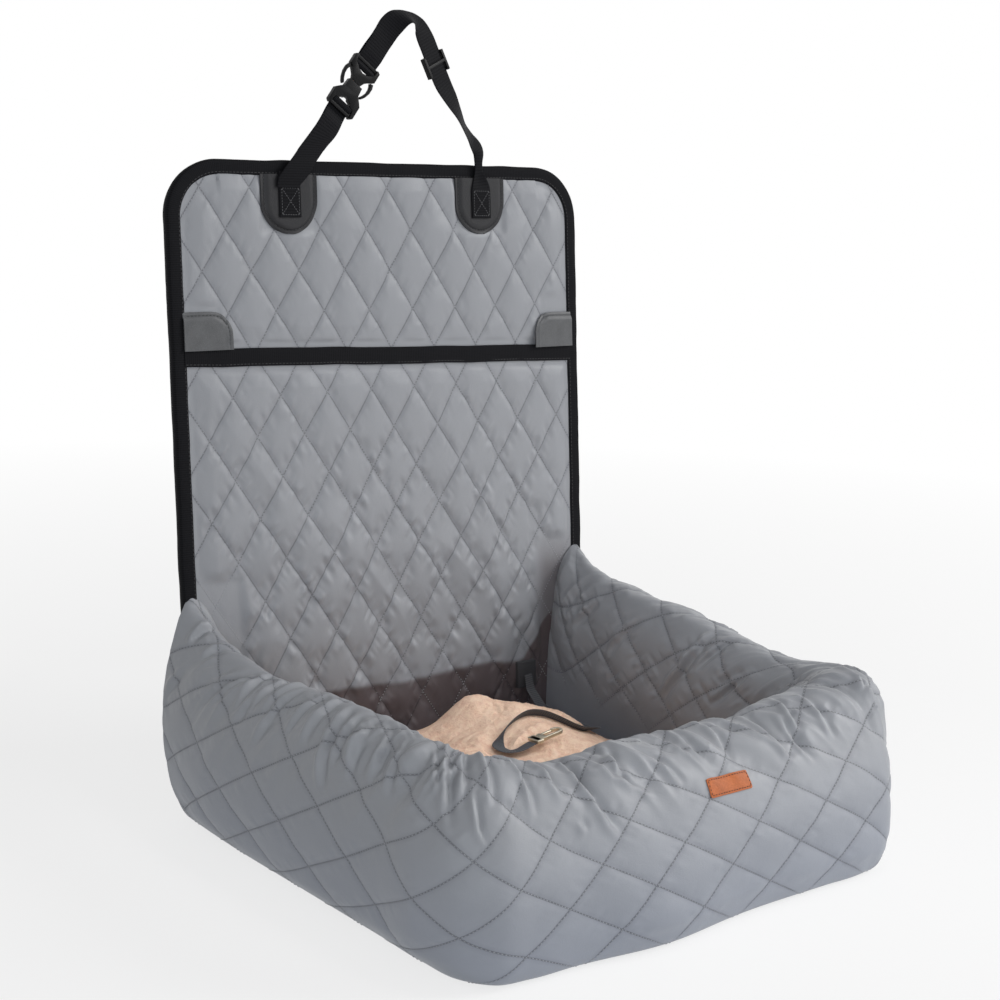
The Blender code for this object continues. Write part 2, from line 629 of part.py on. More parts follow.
def build_left_strap():
    """The strap's left leg with the female half of the buckle."""
    wrap, reach = webbing_wrap("strap_left_wrap", FEMALE_BAR, -1)
    end = BUCKLE_START + FEMALE_BAR - reach
    foot_u = LEFT_LEG_FOOT_U
    low = LEG_FOOT
    slope_u, slope_v = LEG_DIRECTION
    ends = [(foot_u + end * slope_u + side * WEBBING_WIDTH / 2 * slope_v,
             LEG_FOOT + end * slope_v - side * WEBBING_WIDTH / 2 * slope_u) for side in (1, -1)]
    low_cut = STRAP_HINGE_GAP * slope_u / slope_v
    outline = [(foot_u - LEG_HALF_SPAN + low_cut, low + STRAP_HINGE_GAP),
               (foot_u + LEG_HALF_SPAN + low_cut, low + STRAP_HINGE_GAP), *ends]
    strap = prism("strap_left", outline, STRAP_BACK, STRAP_BACK + WEBBING_THICKNESS, on_panel, "webbing")
    combine(strap, wrap, "UNION")

    half = buckle_points(FEMALE_OUTLINE_SHARES) + [(FEMALE_LENGTH, WAIST_WIDTH / 2)]
    female = prism("buckle_female", mirrored_outline(half), -BUCKLE_THICKNESS / 2, BUCKLE_THICKNESS / 2, on_buckle,
                   "plastic")
    window = [(BUCKLE_BAR_WIDTH, WINDOW_HALF_SPAN), (BUCKLE_BAR_WIDTH + WRAP_FLARE / 2, WINDOW_HALF_SPAN)]
    window += buckle_points(FEMALE_WINDOW_SHARES)
    for cutter in bar_cutters("buckle_female", FEMALE_BAR, window):
        combine(female, cutter)
    taper = (TONGUE_ROOT_WIDTH - TONGUE_TIP_WIDTH) / 2 / TONGUE_LENGTH
    tip = FEMALE_LENGTH + GAP - TONGUE_LENGTH
    socket_tip, socket_end = tip - 2 * GAP, FEMALE_LENGTH + OVERRUN
    tip_half = TONGUE_TIP_WIDTH / 2 + GAP
    socket = [(socket_tip, tip_half), (socket_end, tip_half + taper * (socket_end - socket_tip))]
    combine(female, prism("buckle_socket", mirrored_outline(socket), -TONGUE_THICKNESS / 2 - GAP,
                          TONGUE_THICKNESS / 2 + GAP, on_buckle))


def strap_frame(points, twists, widths):
    """Corners of a ribbon along points in the panel's plane, its width turned back by each twist."""
    rings = []
    for k, (u, v) in enumerate(points):
        before, after = points[max(k - 1, 0)], points[min(k + 1, len(points) - 1)]
        direction = Vector((after[0] - before[0], after[1] - before[1], 0.0)).normalized()
        outward = Vector((-direction.y, direction.x, 0.0))
        twist = math.radians(twists[k])
        across = outward * math.cos(twist) + Vector((0.0, 0.0, -1.0)) * math.sin(twist)
        thick = direction.cross(across)
        ring = []
        for a, b in ((-1, -1), (1, -1), (1, 1), (-1, 1)):
            corner = across * (a * widths[k] / 2) + thick * (b * WEBBING_THICKNESS / 2)
            ring.append(on_panel(u + corner.x, v + corner.y, STRAP_MIDDLE + corner.z))
        rings.append(ring)
    return rings


def strap_route():
    """Centre line of the strap from the buckle's male half over the apex to the panel's top edge."""
    start = BUCKLE_START + MALE_BAR + BUCKLE_BAR_WIDTH / 2
    base_u = LEFT_LEG_FOOT_U + start * LEG_DIRECTION[0]
    base_v = LEG_FOOT + start * LEG_DIRECTION[1]
    return [(base_u + a * APEX_SPREAD, base_v + b * APEX_RISE) for a, b in STRAP_SHARES]


def build_right_strap():
    """The strap from the male half over the apex and down to the right patch, with the buckle's male half."""
    wrap, reach = webbing_wrap("strap_right_wrap", MALE_BAR, 1)
    first = BUCKLE_START + MALE_BAR + reach
    points = [(LEFT_LEG_FOOT_U + first * LEG_DIRECTION[0], LEG_FOOT + first * LEG_DIRECTION[1])]
    route = strap_route()
    points += route
    swing_lift = WEBBING_WIDTH / 2 * math.tan(UNCLIP_LIMIT) + STRAP_HINGE_GAP
    foot = LEG_FOOT + swing_lift
    points[-1] = (RIGHT_LEG_FOOT_U, foot)
    points.append((RIGHT_LEG_FOOT_U, LEG_FOOT + STRAP_HINGE_GAP))
    widths = [WEBBING_WIDTH] * (len(points) - 1) + [WEBBING_THICKNESS]
    strap = loft("strap_right", strap_frame(points, (0.0,) + STRAP_TWIST_DEGREES + (0.0,), widths), "webbing")
    combine(strap, wrap, "UNION")

    root = FEMALE_LENGTH + GAP
    half = [(root, TONGUE_ROOT_WIDTH / 2 + GAP)] + buckle_points(MALE_OUTLINE_SHARES)
    male = prism("buckle_male", mirrored_outline(half), -BUCKLE_THICKNESS / 2, BUCKLE_THICKNESS / 2, on_buckle,
                 "plastic")
    bar = BUCKLE_LENGTH - BUCKLE_BAR_WIDTH
    window = [(bar, WINDOW_HALF_SPAN), (bar - WRAP_FLARE / 2, WINDOW_HALF_SPAN)] + buckle_points(MALE_WINDOW_SHARES)
    for cutter in bar_cutters("buckle_male", MALE_BAR, window):
        combine(male, cutter)
    tip = root - TONGUE_LENGTH
    tongue = [(tip, TONGUE_TIP_WIDTH / 2), (root, TONGUE_ROOT_WIDTH / 2),
              (root + WEBBING_THICKNESS, TONGUE_ROOT_WIDTH / 2)]
    combine(male, prism("buckle_tongue", mirrored_outline(tongue), -TONGUE_THICKNESS / 2, TONGUE_THICKNESS / 2,
                        on_buckle), "UNION")
    for side, label in ((1, "left"), (-1, "right")):
        outline = [(a, side * b) for a, b in buckle_points(ARM_OUTLINE_SHARES)]
        prism("release_arm_" + label, outline, -ARM_THICKNESS / 2, ARM_THICKNESS / 2, on_buckle, "plastic")


def build_glide():
    """The tri-glide on the right leg: a frame with a middle bar in front and outer bars behind."""
    route = strap_route()
    twist = math.radians(STRAP_TWIST_DEGREES[7])
    start, end = route[6], route[8]
    along = Vector((end[0] - start[0], end[1] - start[1], 0.0)).normalized()
    middle = Vector((route[7][0], route[7][1], STRAP_MIDDLE))
    outward = Vector((-along.y, along.x, 0.0))
    across = outward * math.cos(twist) + Vector((0.0, 0.0, -1.0)) * math.sin(twist)
    thick = along.cross(across)

    def on_glide(a, b, c):
        return on_panel(*(middle + along * a + across * b + thick * c))

    def block(name, half_a, half_b, low, high, offset=0.0, slot=None):
        return prism(name, rounded_outline(offset - half_a, offset + half_a, -half_b, half_b, (0.0,) * 4), low, high,
                     on_glide, slot)
    half_span = WEBBING_WIDTH / 2 + GAP
    glide = block("triglide", GLIDE_LENGTH / 2, GLIDE_WIDTH / 2, -GLIDE_THICKNESS / 2, GLIDE_THICKNESS / 2, 0.0,
                  "plastic")
    channel = WEBBING_THICKNESS / 2 + GAP
    combine(glide, block("triglide_channel", GLIDE_LENGTH / 2 + OVERRUN, half_span, -channel, channel))
    front = thick_sign(thick)
    for sign, label in ((1, "upper"), (-1, "lower")):
        inner = GLIDE_BAR / 2
        outer = GLIDE_LENGTH / 2 + OVERRUN
        low, high = sorted((0.0, front * GLIDE_THICKNESS))
        combine(glide, block("triglide_front_" + label, (outer - inner) / 2, half_span - GAP, low, high,
                             sign * (outer + inner) / 2))
    low, high = sorted((0.0, -front * GLIDE_THICKNESS))
    combine(glide, block("triglide_back", GLIDE_LENGTH / 2 - GLIDE_BAR, half_span - 2 * GAP, low, high))


def thick_sign(thick):
    """Which way along the thickness faces the front."""
    return 1 if thick.z > 0.0 else -1


# Heights of the base's layers
BOARD_FOOT = UNDERSIDE_THICKNESS + GAP
BOLSTER_FOOT = BOARD_FOOT + BOARD_THICKNESS + GAP
FLOOR_TOP = BOLSTER_FOOT + FLOOR_FOAM_THICKNESS + GAP + FLOOR_QUILT_THICKNESS
CUSHION_FOOT = FLOOR_TOP + GAP


def build_base():
    """The base's underside cloth, board, foam and quilted floor."""
    half = BASE_WIDTH / 2
    front = BASE_DEPTH / 2
    radius = BASE_CORNER_RADIUS
    inset = UNDERSIDE_INSET
    back_edge = BASE_DEPTH / 2 + FLANGE_BACK
    prism("base_underside", rounded_outline(-half + inset, half - inset, -front + inset, back_edge,
                                            (radius - inset, radius - inset, 0.0, 0.0)),
          0.0, UNDERSIDE_THICKNESS, world, "lining")
    inset = BOARD_INSET
    prism("base_board", rounded_outline(-half + inset, half - inset, -front + inset, front - BOLSTER_FACE_GAP,
                                        (radius - inset, radius - inset, 0.0, 0.0)),
          BOARD_FOOT, BOARD_FOOT + BOARD_THICKNESS, world, "board")
    half = FLOOR_WIDTH / 2
    radius = INNER_CORNER_RADIUS
    back_edge = BASE_DEPTH / 2 - GAP
    outline = rounded_outline(-half, half, -FLOOR_FRONT, back_edge, (radius, radius, 0.0, 0.0))
    prism("base_foam", outline, BOLSTER_FOOT, BOLSTER_FOOT + FLOOR_FOAM_THICKNESS, world, "foam")
    prism("seat_quilt", outline, FLOOR_TOP - FLOOR_QUILT_THICKNESS, FLOOR_TOP, world, "fabric")


def bolster_stations():
    """Plan of the bolsters: for each station its outer point, inner point, outward direction, bulge and crest."""
    half, front = BASE_WIDTH / 2, BASE_DEPTH / 2
    radius, inner_radius = BASE_CORNER_RADIUS, INNER_CORNER_RADIUS
    stations = []

    def add(outer, inner, outward, bulge, crest, lean=0.0, tip=0.0):
        height = FRONT_CREST_HEIGHT + crest * (TIP_HEIGHT - FRONT_CREST_HEIGHT) - BOLSTER_FOOT
        stations.append((Vector(outer), Vector(inner), Vector(outward), bulge, height, lean, tip))

    def side(sign, order, crests):
        for k in order:
            share = SIDE_PLACE_SHARES[k]
            outer_y = front + share * (radius - 2 * front)
            inner_y = front + share * (inner_radius - INNER_FRONT - front)
            blend = TIP_BLEND_SHARES[k] if k < len(TIP_BLEND_SHARES) else 0.0
            add((sign * half, outer_y, 0.0), (sign * INNER_HALF_WIDTH, inner_y, 0.0), (sign, 0.0, 0.0), SIDE_BULGE,
                crests[k], (1.0 - share) ** 2, blend)

    def turn(sign, angles, crests):
        for angle, crest in zip(angles, crests):
            swing = math.radians(angle)
            outward = Vector((sign * math.cos(swing), -math.sin(swing), 0.0))
            centre = Vector((sign * (half - radius), radius - front, 0.0))
            inner_centre = Vector((sign * (INNER_HALF_WIDTH - inner_radius), inner_radius - INNER_FRONT, 0.0))
            share = angle / 90.0
            add(centre + outward * radius, inner_centre + outward * inner_radius, outward,
                SIDE_BULGE + (FRONT_BULGE - SIDE_BULGE) * share, crest)

    steps = range(SIDE_STEPS + 1)
    angles = [90.0 * k / TURN_STEPS for k in range(1, TURN_STEPS)]
    side(-1, steps, LEFT_CREST_SHARES)
    turn(-1, angles, CORNER_CREST_SHARES)
    for k in range(FRONT_STEPS + 1):
        share = k / FRONT_STEPS
        add((-half + radius + share * 2 * (half - radius), -front, 0.0),
            (-INNER_HALF_WIDTH + inner_radius + share * 2 * (INNER_HALF_WIDTH - inner_radius), -INNER_FRONT, 0.0),
            (0.0, -1.0, 0.0), FRONT_BULGE, FRONT_CREST_SHARES[k])
    turn(1, reversed(angles), RIGHT_CORNER_CREST_SHARES)
    crests = tuple(reversed(RIGHT_CREST_SHARES))
    side(1, reversed(steps), crests)
    return stations


def bolster_ring(station, index, inset=0.0, quilting=True, sink=0.0, shift=0.0):
    """One closed section of a bolster, inset by a wall, with its quilting, and shifted along the path."""
    outer, inner, outward, bulge, height, lean, tip = station
    start = outer + outward * bulge
    middle = start.lerp(inner, 0.5) + Vector((0.0, 0.0, BOLSTER_FOOT + height * MIDDLE_HEIGHT_SHARE))
    path = Vector((-outward.y, outward.x, 0.0))
    ring = []
    facing = abs(outward.y)
    for j, (side_share, front_share, tip_share) in enumerate(zip(SECTION_SHARES, FRONT_SHARES, TIP_SHARES)):
        plain = [a + (b - a) * facing for a, b in zip(side_share, front_share)]
        across, up = [a + (b - a) * tip for a, b in zip(plain, tip_share)]
        point = start.lerp(inner, across)
        point.z = BOLSTER_FOOT + up * height
        away = (point - middle).normalized()
        if quilting and 0.0 < up:
            point += away * (BOLSTER_QUILT_RISE if (index + j) % 2 else -BOLSTER_QUILT_RISE)
        if inset and up > 0.0:
            point -= Vector((away.x, away.y, away.z)) * inset * WALL_SLOPE_SHARE
        if inset and up == 0.0:
            point += Vector((0.0, 0.0, -sink))
            centre = start.lerp(inner, FOOT_MIDDLE_SHARE)
            flat = Vector((centre.x - point.x, centre.y - point.y, 0.0))
            if flat.length > inset:
                point += flat.normalized() * inset * FOOT_INSET_SHARE
        point += path * shift
        point.y += lean * point.z * math.tan(PANEL_LEAN)
        point.y -= BOLSTER_FACE_GAP / math.cos(PANEL_LEAN) * (lean ** 8)
        ring.append(point)
    return ring


def build_bolsters():
    """The bolsters' cover, open underneath, and the three fillings inside it."""
    stations = bolster_stations()
    last = len(stations) - 1
    rings = [bolster_ring(station, k) for k, station in enumerate(stations)]
    cover = loft("bolster_cover", rings, "fabric")
    hollow = []
    for k, station in enumerate(stations):
        shift = 0.0
        if k == 0:
            shift = COVER_WALL
        elif k == last:
            shift = -COVER_WALL
        hollow.append(bolster_ring(station, k, COVER_WALL, False, OVERRUN, shift))
    combine(cover, loft("bolster_hollow", hollow))

    inset, end_shift = COVER_WALL + FILL_CLEARANCE, COVER_WALL + GAP
    first_turn, second_turn = SIDE_STEPS + 1, SIDE_STEPS + TURN_STEPS + FRONT_STEPS
    for label, low, high in (("left", 0, first_turn), ("front", first_turn, second_turn), ("right", second_turn, last)):
        fill = []
        for k in range(low, high + 1):
            shift = 0.0
            if k == low:
                shift = end_shift if low == 0 else FILL_GAP / 2
            elif k == high:
                shift = -end_shift if high == last else -FILL_GAP / 2
            fill.append(bolster_ring(stations[k], k, inset, False, 0.0, shift))
        loft("bolster_fill_" + label, fill, "foam")


def build_label():
    """The label on the front bolster's upper face, lying on its slope."""
    stations = bolster_stations()
    k = SIDE_STEPS + TURN_STEPS + FRONT_STEPS // 2
    ring = bolster_ring(stations[k], k, 0.0, False)
    low, high = ring[4], ring[5]
    slope = Vector((0.0, high.y - low.y, high.z - low.z)).normalized()
    outward = Vector((0.0, -slope.z, slope.y))
    middle = (low + high) / 2
    middle.x = LABEL_X

    def on_label(a, b, c):
        return middle + Vector((a, 0.0, 0.0)) + slope * b + outward * c
    lift = BOLSTER_QUILT_RISE + GAP
    radius = LABEL_THICKNESS * 2
    prism("label_patch", rounded_outline(-LABEL_WIDTH / 2, LABEL_WIDTH / 2, -LABEL_HEIGHT / 2, LABEL_HEIGHT / 2,
                                         (radius,) * 4), lift, lift + LABEL_THICKNESS, on_label, "label")


def cushion_edge(angle):
    """Point on the cushion's plan outline at an angle, as its centre offset."""
    half_x, half_y = (CUSHION_RIGHT - CUSHION_LEFT) / 2, (CUSHION_BACK - CUSHION_FRONT) / 2
    power = 2.0 / 4.6
    cosine, sine = math.cos(angle), math.sin(angle)
    return (half_x * math.copysign(abs(cosine) ** power, cosine), half_y * math.copysign(abs(sine) ** power, sine))


def cushion_centre():
    """Middle of the cushion in plan."""
    return (CUSHION_LEFT + CUSHION_RIGHT) / 2, (CUSHION_FRONT + CUSHION_BACK) / 2


def cushion_lift(x, y, radial):
    """Height of the cushion's top over its side height, at a plan point and its radial share."""
    for (low, high_value), (high, low_value) in zip(CUSHION_RING_SHARES, CUSHION_RING_SHARES[1:]):
        if radial <= high:
            blend = (radial - low) / (high - low)
            crown = high_value + (low_value - high_value) * blend
            break
    else:
        crown = CUSHION_RING_SHARES[-1][1]
    span = ((x - HUMP_X) ** 2 + (y - HUMP_Y) ** 2) / (2 * HUMP_SPREAD ** 2)
    return (CUSHION_CROWN - CUSHION_SIDE_HEIGHT * 0.5) * crown + HUMP_RISE * math.exp(-span) * min(1.0, 6 * (1 - radial))


def cushion_rings(inset, drop, foot):
    """Rings of the cushion from the middle of its top, over its side, to its underside."""
    centre_x, centre_y = cushion_centre()
    rings = []
    for radial, _ in CUSHION_RING_SHARES[1:]:
        ring = []
        for k in range(CUSHION_STEPS):
            edge = cushion_edge(2 * math.pi * k / CUSHION_STEPS)
            scale = 1.0 - inset / math.hypot(*edge)
            x, y = centre_x + edge[0] * radial * scale, centre_y + edge[1] * radial * scale
            z = CUSHION_FOOT + CUSHION_SIDE_HEIGHT * 0.5 + cushion_lift(x, y, radial) - drop
            ring.append(Vector((x, y, z)))
        rings.append(ring)
    for share, rise in CUSHION_SIDE_SHARES:
        ring = []
        for k in range(CUSHION_STEPS):
            edge = cushion_edge(2 * math.pi * k / CUSHION_STEPS)
            scale = share * (1.0 - inset / math.hypot(*edge))
            side = rings[len(CUSHION_RING_SHARES) - 2][k].z
            ring.append(Vector((centre_x + edge[0] * scale, centre_y + edge[1] * scale,
                                foot + (side - foot) * rise)))
        rings.append(ring)
    return rings


def cushion_solid(name, inset, drop, foot, slot=None):
    """A closed cushion from its rings, with a fan at the middle of its top."""
    shape = bmesh.new()
    rings = cushion_rings(inset, drop, foot)
    rows = [[shape.verts.new(point) for point in ring] for ring in rings]
    centre_x, centre_y = cushion_centre()
    top = shape.verts.new((centre_x, centre_y, CUSHION_FOOT + CUSHION_SIDE_HEIGHT * 0.5
                           + cushion_lift(centre_x, centre_y, 0.0) - drop))
    for i in range(CUSHION_STEPS):
        j = (i + 1) % CUSHION_STEPS
        shape.faces.new((top, rows[0][i], rows[0][j]))
        for row, following in zip(rows, rows[1:]):
            shape.faces.new((row[i], following[i], following[j], row[j]))
    shape.faces.new(rows[-1])
    bmesh.ops.triangulate(shape, faces=shape.faces, quad_method="FIXED")
    return add_object(name, shape, slot)


def build_cushion():
    """The plush cover, open underneath at its zip, and the filling."""
    cover = cushion_solid("cushion_cover", 0.0, 0.0, CUSHION_FOOT, "plush")
    hollow = cushion_solid("cushion_hollow", CUSHION_WALL, CUSHION_WALL, CUSHION_FOOT + CUSHION_WALL / 2)
    combine(cover, hollow)
    slit = CUSHION_WALL / 4
    centre_x, centre_y = cushion_centre()
    reach = CUSHION_SLIT_LENGTH / 2
    opening = prism("cushion_slit", rounded_outline(centre_x - reach, centre_x + reach,
                                                    centre_y - slit, centre_y + slit, (0.0,) * 4),
                    CUSHION_FOOT - OVERRUN, CUSHION_FOOT + CUSHION_WALL, world)
    combine(cover, opening)
    cushion_solid("cushion_fill", CUSHION_WALL + FILL_CLEARANCE, CUSHION_WALL + GAP,
                  CUSHION_FOOT + CUSHION_WALL / 2 + FILL_CLEARANCE, "foam")


def build_zip():
    """The zip's chain along the bottom left edge, its slider and its pull."""
    edge = -(BASE_WIDTH / 2 - UNDERSIDE_INSET) - GAP
    low, high = ZIP_CHAIN_LIFT, ZIP_CHAIN_LIFT + ZIP_CHAIN_WIDTH
    prism("zipper_chain", rounded_outline(edge - ZIP_CHAIN_THICKNESS, edge, ZIP_FRONT, ZIP_BACK, (0.0,) * 4), low, high,
          world, "zip")
    inner = edge
    outer = edge - ZIP_CHAIN_THICKNESS - GAP - SLIDER_WALL
    slider = prism("zipper_slider", rounded_outline(outer, inner, SLIDER_Y - SLIDER_LENGTH / 2,
                                                    SLIDER_Y + SLIDER_LENGTH / 2, (0.0,) * 4),
                   low - GAP - SLIDER_WALL, high + GAP + SLIDER_WALL / 2, world, "metal")
    combine(slider, prism("zipper_slider_slot",
                          rounded_outline(edge - ZIP_CHAIN_THICKNESS - GAP, edge + OVERRUN, SLIDER_Y - SLIDER_LENGTH,
                                          SLIDER_Y + SLIDER_LENGTH, (0.0,) * 4), low - GAP, high + GAP, world))
    middle = (low + high) / 2
    pin_x = outer - PULL_THICKNESS
    lug = SLIDER_LENGTH / 4
    for side, label in ((-1, "low"), (1, "high")):
        near, far = sorted((middle + side * (PULL_WIDTH / 2 - SLIDER_WALL), middle + side * (PULL_WIDTH / 2)))
        combine(slider, prism("zipper_lug_" + label,
                              rounded_outline(outer - 2 * PULL_THICKNESS, outer + SLIDER_WALL / 2, SLIDER_Y - lug / 2,
                                              SLIDER_Y + lug / 2, (0.0,) * 4), near, far, world), "UNION")
    half = PULL_WIDTH / 2 - SLIDER_WALL - GAP
    near = pin_x - PULL_THICKNESS / 2
    back = SLIDER_Y + PULL_THICKNESS / 2
    prism("zipper_pull", rounded_outline(near, near + PULL_THICKNESS, back - PULL_LENGTH, back, (0.0,) * 4),
          middle - half, middle + half, world, "metal")
    return Vector((pin_x, SLIDER_Y, middle))


def smooth_route(points, steps):
    """A smooth curve through plan points."""
    route = []
    for k in range(len(points) - 1):
        p0, p1 = points[max(k - 1, 0)], points[k]
        p2, p3 = points[k + 1], points[min(k + 2, len(points) - 1)]
        for step in range(steps):
            t = step / steps
            route.append(tuple(0.5 * (2 * b + (c - a) * t + (2 * a - 5 * b + 4 * c - d) * t * t
                                      + (3 * b - a - 3 * c + d) * t ** 3) for a, b, c, d in zip(p0, p1, p2, p3)))
    route.append(points[-1])
    return route


def cushion_height(x, y):
    """Height of the cushion's top under a plan point, or of the floor beside it."""
    centre_x, centre_y = cushion_centre()
    offset_x, offset_y = x - centre_x, y - centre_y
    half_x, half_y = (CUSHION_RIGHT - CUSHION_LEFT) / 2, (CUSHION_BACK - CUSHION_FRONT) / 2
    radial = (abs(offset_x / half_x) ** 4.6 + abs(offset_y / half_y) ** 4.6) ** (1 / 4.6)
    if radial >= 1.0:
        return CUSHION_FOOT + CUSHION_SIDE_HEIGHT
    return CUSHION_FOOT + CUSHION_SIDE_HEIGHT * 0.5 + cushion_lift(x, y, radial)


def tether_points():
    """Centre points of the tether, lying on the cushion, and its direction across at each."""
    route = smooth_route(TETHER_ROUTE, 2)
    points = []
    anchor = on_panel(ANCHOR_U, ANCHOR_V, 0.0)
    for k, (x, y) in enumerate(route):
        before, after = route[max(k - 1, 0)], route[min(k + 1, len(route) - 1)]
        along = Vector((after[0] - before[0], after[1] - before[1], 0.0)).normalized()
        across = Vector((-along.y, along.x, 0.0))
        reach = TETHER_WIDTH / 2
        height = max(cushion_height(x + across.x * d, y + across.y * d) for d in (-reach, 0.0, reach))
        height += TETHER_LIFT
        lifted = max(0.0, 1.0 - (len(route) - 1 - k) / END_RISE_STEPS)
        height += TETHER_END_RISE * lifted ** 2 * (3.0 - 2.0 * lifted)
        settle = min(1.0, k / 4)
        z = anchor.z + (max(height, anchor.z - ANCHOR_HEIGHT) - anchor.z) * settle
        points.append((Vector((x, y, z)), across))
    return points


def build_tether():
    """The tether's sewn anchor on the lower panel and its webbing over the cushion."""
    points = tether_points()
    shift = ANCHOR_HEIGHT / 2
    back = QUILT_PEAK + GAP
    outline = rounded_outline(ANCHOR_U - ANCHOR_WIDTH / 2, ANCHOR_U + ANCHOR_WIDTH / 2, ANCHOR_V - shift,
                              ANCHOR_V + shift, (0.0,) * 4)
    prism("tether_anchor", outline, back, back + ANCHOR_THICKNESS, on_panel, "webbing")
    pivot = on_panel(ANCHOR_U, ANCHOR_V, back + ANCHOR_THICKNESS + GAP)
    face = on_panel(ANCHOR_U, ANCHOR_V, back + ANCHOR_THICKNESS + GAP + TETHER_HINGE_GAP)
    start = Vector((points[0][0].x, face.y, face.z))
    points = [(start, points[0][1])] + [pair for pair in points if pair[0].y < face.y - TETHER_WIDTH / 4]
    rings = []
    for point, across in points:
        up = Vector((0.0, 0.0, TETHER_THICKNESS / 2))
        side = across * TETHER_WIDTH / 2
        rings.append([point - side - up, point + side - up, point + side + up, point - side + up])
    loft("tether_strap", rings, "webbing")
    return points[-1], pivot


def build_hook(end):
    """The snap hook at the tether's end: eye, body and gate."""
    point, across = end
    along = Vector((across.y, -across.x, 0.0))
    start = GAP * 2
    reach = start + HOOK_EYE_LENGTH + GAP + HOOK_LENGTH
    far = point + along * reach
    side = across * HOOK_WIDTH / 2
    far.z = TETHER_LIFT + HOOK_LIFT + max(cushion_height(*(far + side * k).xy) for k in (-1, 0, 1))
    along = (far - point).normalized()
    up = along.cross(across)

    def on_hook(a, b, c):
        return point + along * a + across * b + up * (c + HOOK_THICKNESS / 2)
    eye_half = HOOK_EYE_WIDTH / 2
    eye = prism("hook_swivel", rounded_outline(start, start + HOOK_EYE_LENGTH, -eye_half, eye_half,
                                               (HOOK_BAR / 2,) * 4),
                -HOOK_THICKNESS / 2, HOOK_THICKNESS / 2, on_hook, "metal")
    combine(eye, prism("hook_swivel_hole",
                       rounded_outline(start + HOOK_BAR * EYE_NECK_SHARE, start + HOOK_EYE_LENGTH - HOOK_BAR, HOOK_BAR - eye_half,
                                       eye_half - HOOK_BAR, (0.0,) * 4), -HOOK_THICKNESS, HOOK_THICKNESS, on_hook))
    base = start + HOOK_EYE_LENGTH + GAP
    half = HOOK_WIDTH / 2
    radius = half - GAP
    body = prism("hook_body", rounded_outline(base, base + HOOK_LENGTH, -half, half, (HOOK_BAR, radius, radius, HOOK_BAR)),
                 -HOOK_THICKNESS / 2, HOOK_THICKNESS / 2, on_hook, "metal")
    inner = half - HOOK_BAR
    neck = base + HOOK_BAR * 2
    combine(body, prism("hook_hole", rounded_outline(neck, base + HOOK_LENGTH - HOOK_BAR, -inner, inner,
                                                     (GAP, inner - GAP, inner - GAP, GAP)),
                        -HOOK_THICKNESS, HOOK_THICKNESS, on_hook))
    gate_low, gate_high = neck + HOOK_GATE_GAP, base + HOOK_LENGTH - HOOK_WIDTH * GATE_END_SHARE
    combine(body, prism("hook_mouth", rounded_outline(gate_low - HOOK_GATE_GAP, gate_high + GAP, inner - GAP, half + OVERRUN,
                                                      (0.0,) * 4), -HOOK_THICKNESS, HOOK_THICKNESS, on_hook))
    prism("hook_gate", rounded_outline(gate_low, gate_high, inner, half - GAP, (0.0,) * 4), -HOOK_THICKNESS / 3,
          HOOK_THICKNESS / 3, on_hook, "metal")
    return on_hook(base, 0.0, 0.0), on_hook(gate_low + HOOK_BAR / 3, inner + HOOK_BAR / 2, 0.0)


def hang(body, pivot, names, parent=None):
    """Hang a moving body's pieces from an empty on its joint's axis."""
    empty = bpy.data.objects.new(body + "_pivot", None)
    PARTS.objects.link(empty)
    empty.location = pivot - (parent[1] if parent else Vector())
    if parent:
        empty.parent = parent[0]
    for name in names:
        item = bpy.data.objects[name]
        item.data.transform(Matrix.Translation(-pivot))
        item.parent = empty
    return empty, pivot


def main():
    """Build every piece and hang the moving bodies on their pivots."""
    build_panel_layers()
    build_lower_panel()
    build_leather()
    build_sewn_webbing()
    build_left_strap()
    build_right_strap()
    build_glide()
    build_base()
    build_bolsters()
    build_label()
    build_cushion()
    pull_pin = build_zip()
    tether_end, tether_pivot = build_tether()
    swivel_pivot, gate_pivot = build_hook(tether_end)

    back = hang("back_panel", on_panel(0.0, FOLD_HEIGHT, FOLD_FORWARD),
                ("upper_facing", "pocket_front", "pocket_binding", "panel_foam", "panel_backing", "edge_binding",
                 "pocket_tab_left", "pocket_tab_right", "strap_patch_left", "strap_patch_right", "strap_tail_left",
                 "strap_tail_right"))
    loop = hang("strap_loop", on_panel(0.0, LEG_FOOT, STRAP_MIDDLE), ("strap_left", "buckle_female"), back)
    right = hang("strap_side", on_panel(RIGHT_LEG_FOOT_U, LEG_FOOT, STRAP_MIDDLE), ("strap_right", "buckle_male"), loop)
    pivot_s, pivot_t = buckle_points((ARM_PIVOT_SHARES,))[0]
    for side, label in ((1, "left"), (-1, "right")):
        hang("arm_" + label, on_buckle(pivot_s, side * pivot_t, 0.0), ("release_arm_" + label,), right)
    glide = strap_route()[7]
    hang("triglide", on_panel(*glide, STRAP_MIDDLE), ("triglide",), right)
    slider = hang("zipper_slider", Vector((pull_pin.x, SLIDER_Y, pull_pin.z)), ("zipper_slider",))
    hang("zipper_pull", pull_pin, ("zipper_pull",), slider)
    tether = hang("tether", tether_pivot, ("tether_strap", "hook_swivel"))
    hook = hang("hook", swivel_pivot, ("hook_body",), tether)
    hang("hook_gate", gate_pivot, ("hook_gate",), hook)


main()
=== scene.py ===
"""Dressed model of a quilted dog car seat: a padded bed, a folding panel, a headrest strap and a tether."""
import logging
import math
from dataclasses import dataclass
from enum import Enum
from typing import Callable, Optional, Sequence

import bpy
import numpy as np
from mathutils import Matrix, Vector
from mathutils.bvhtree import BVHTree


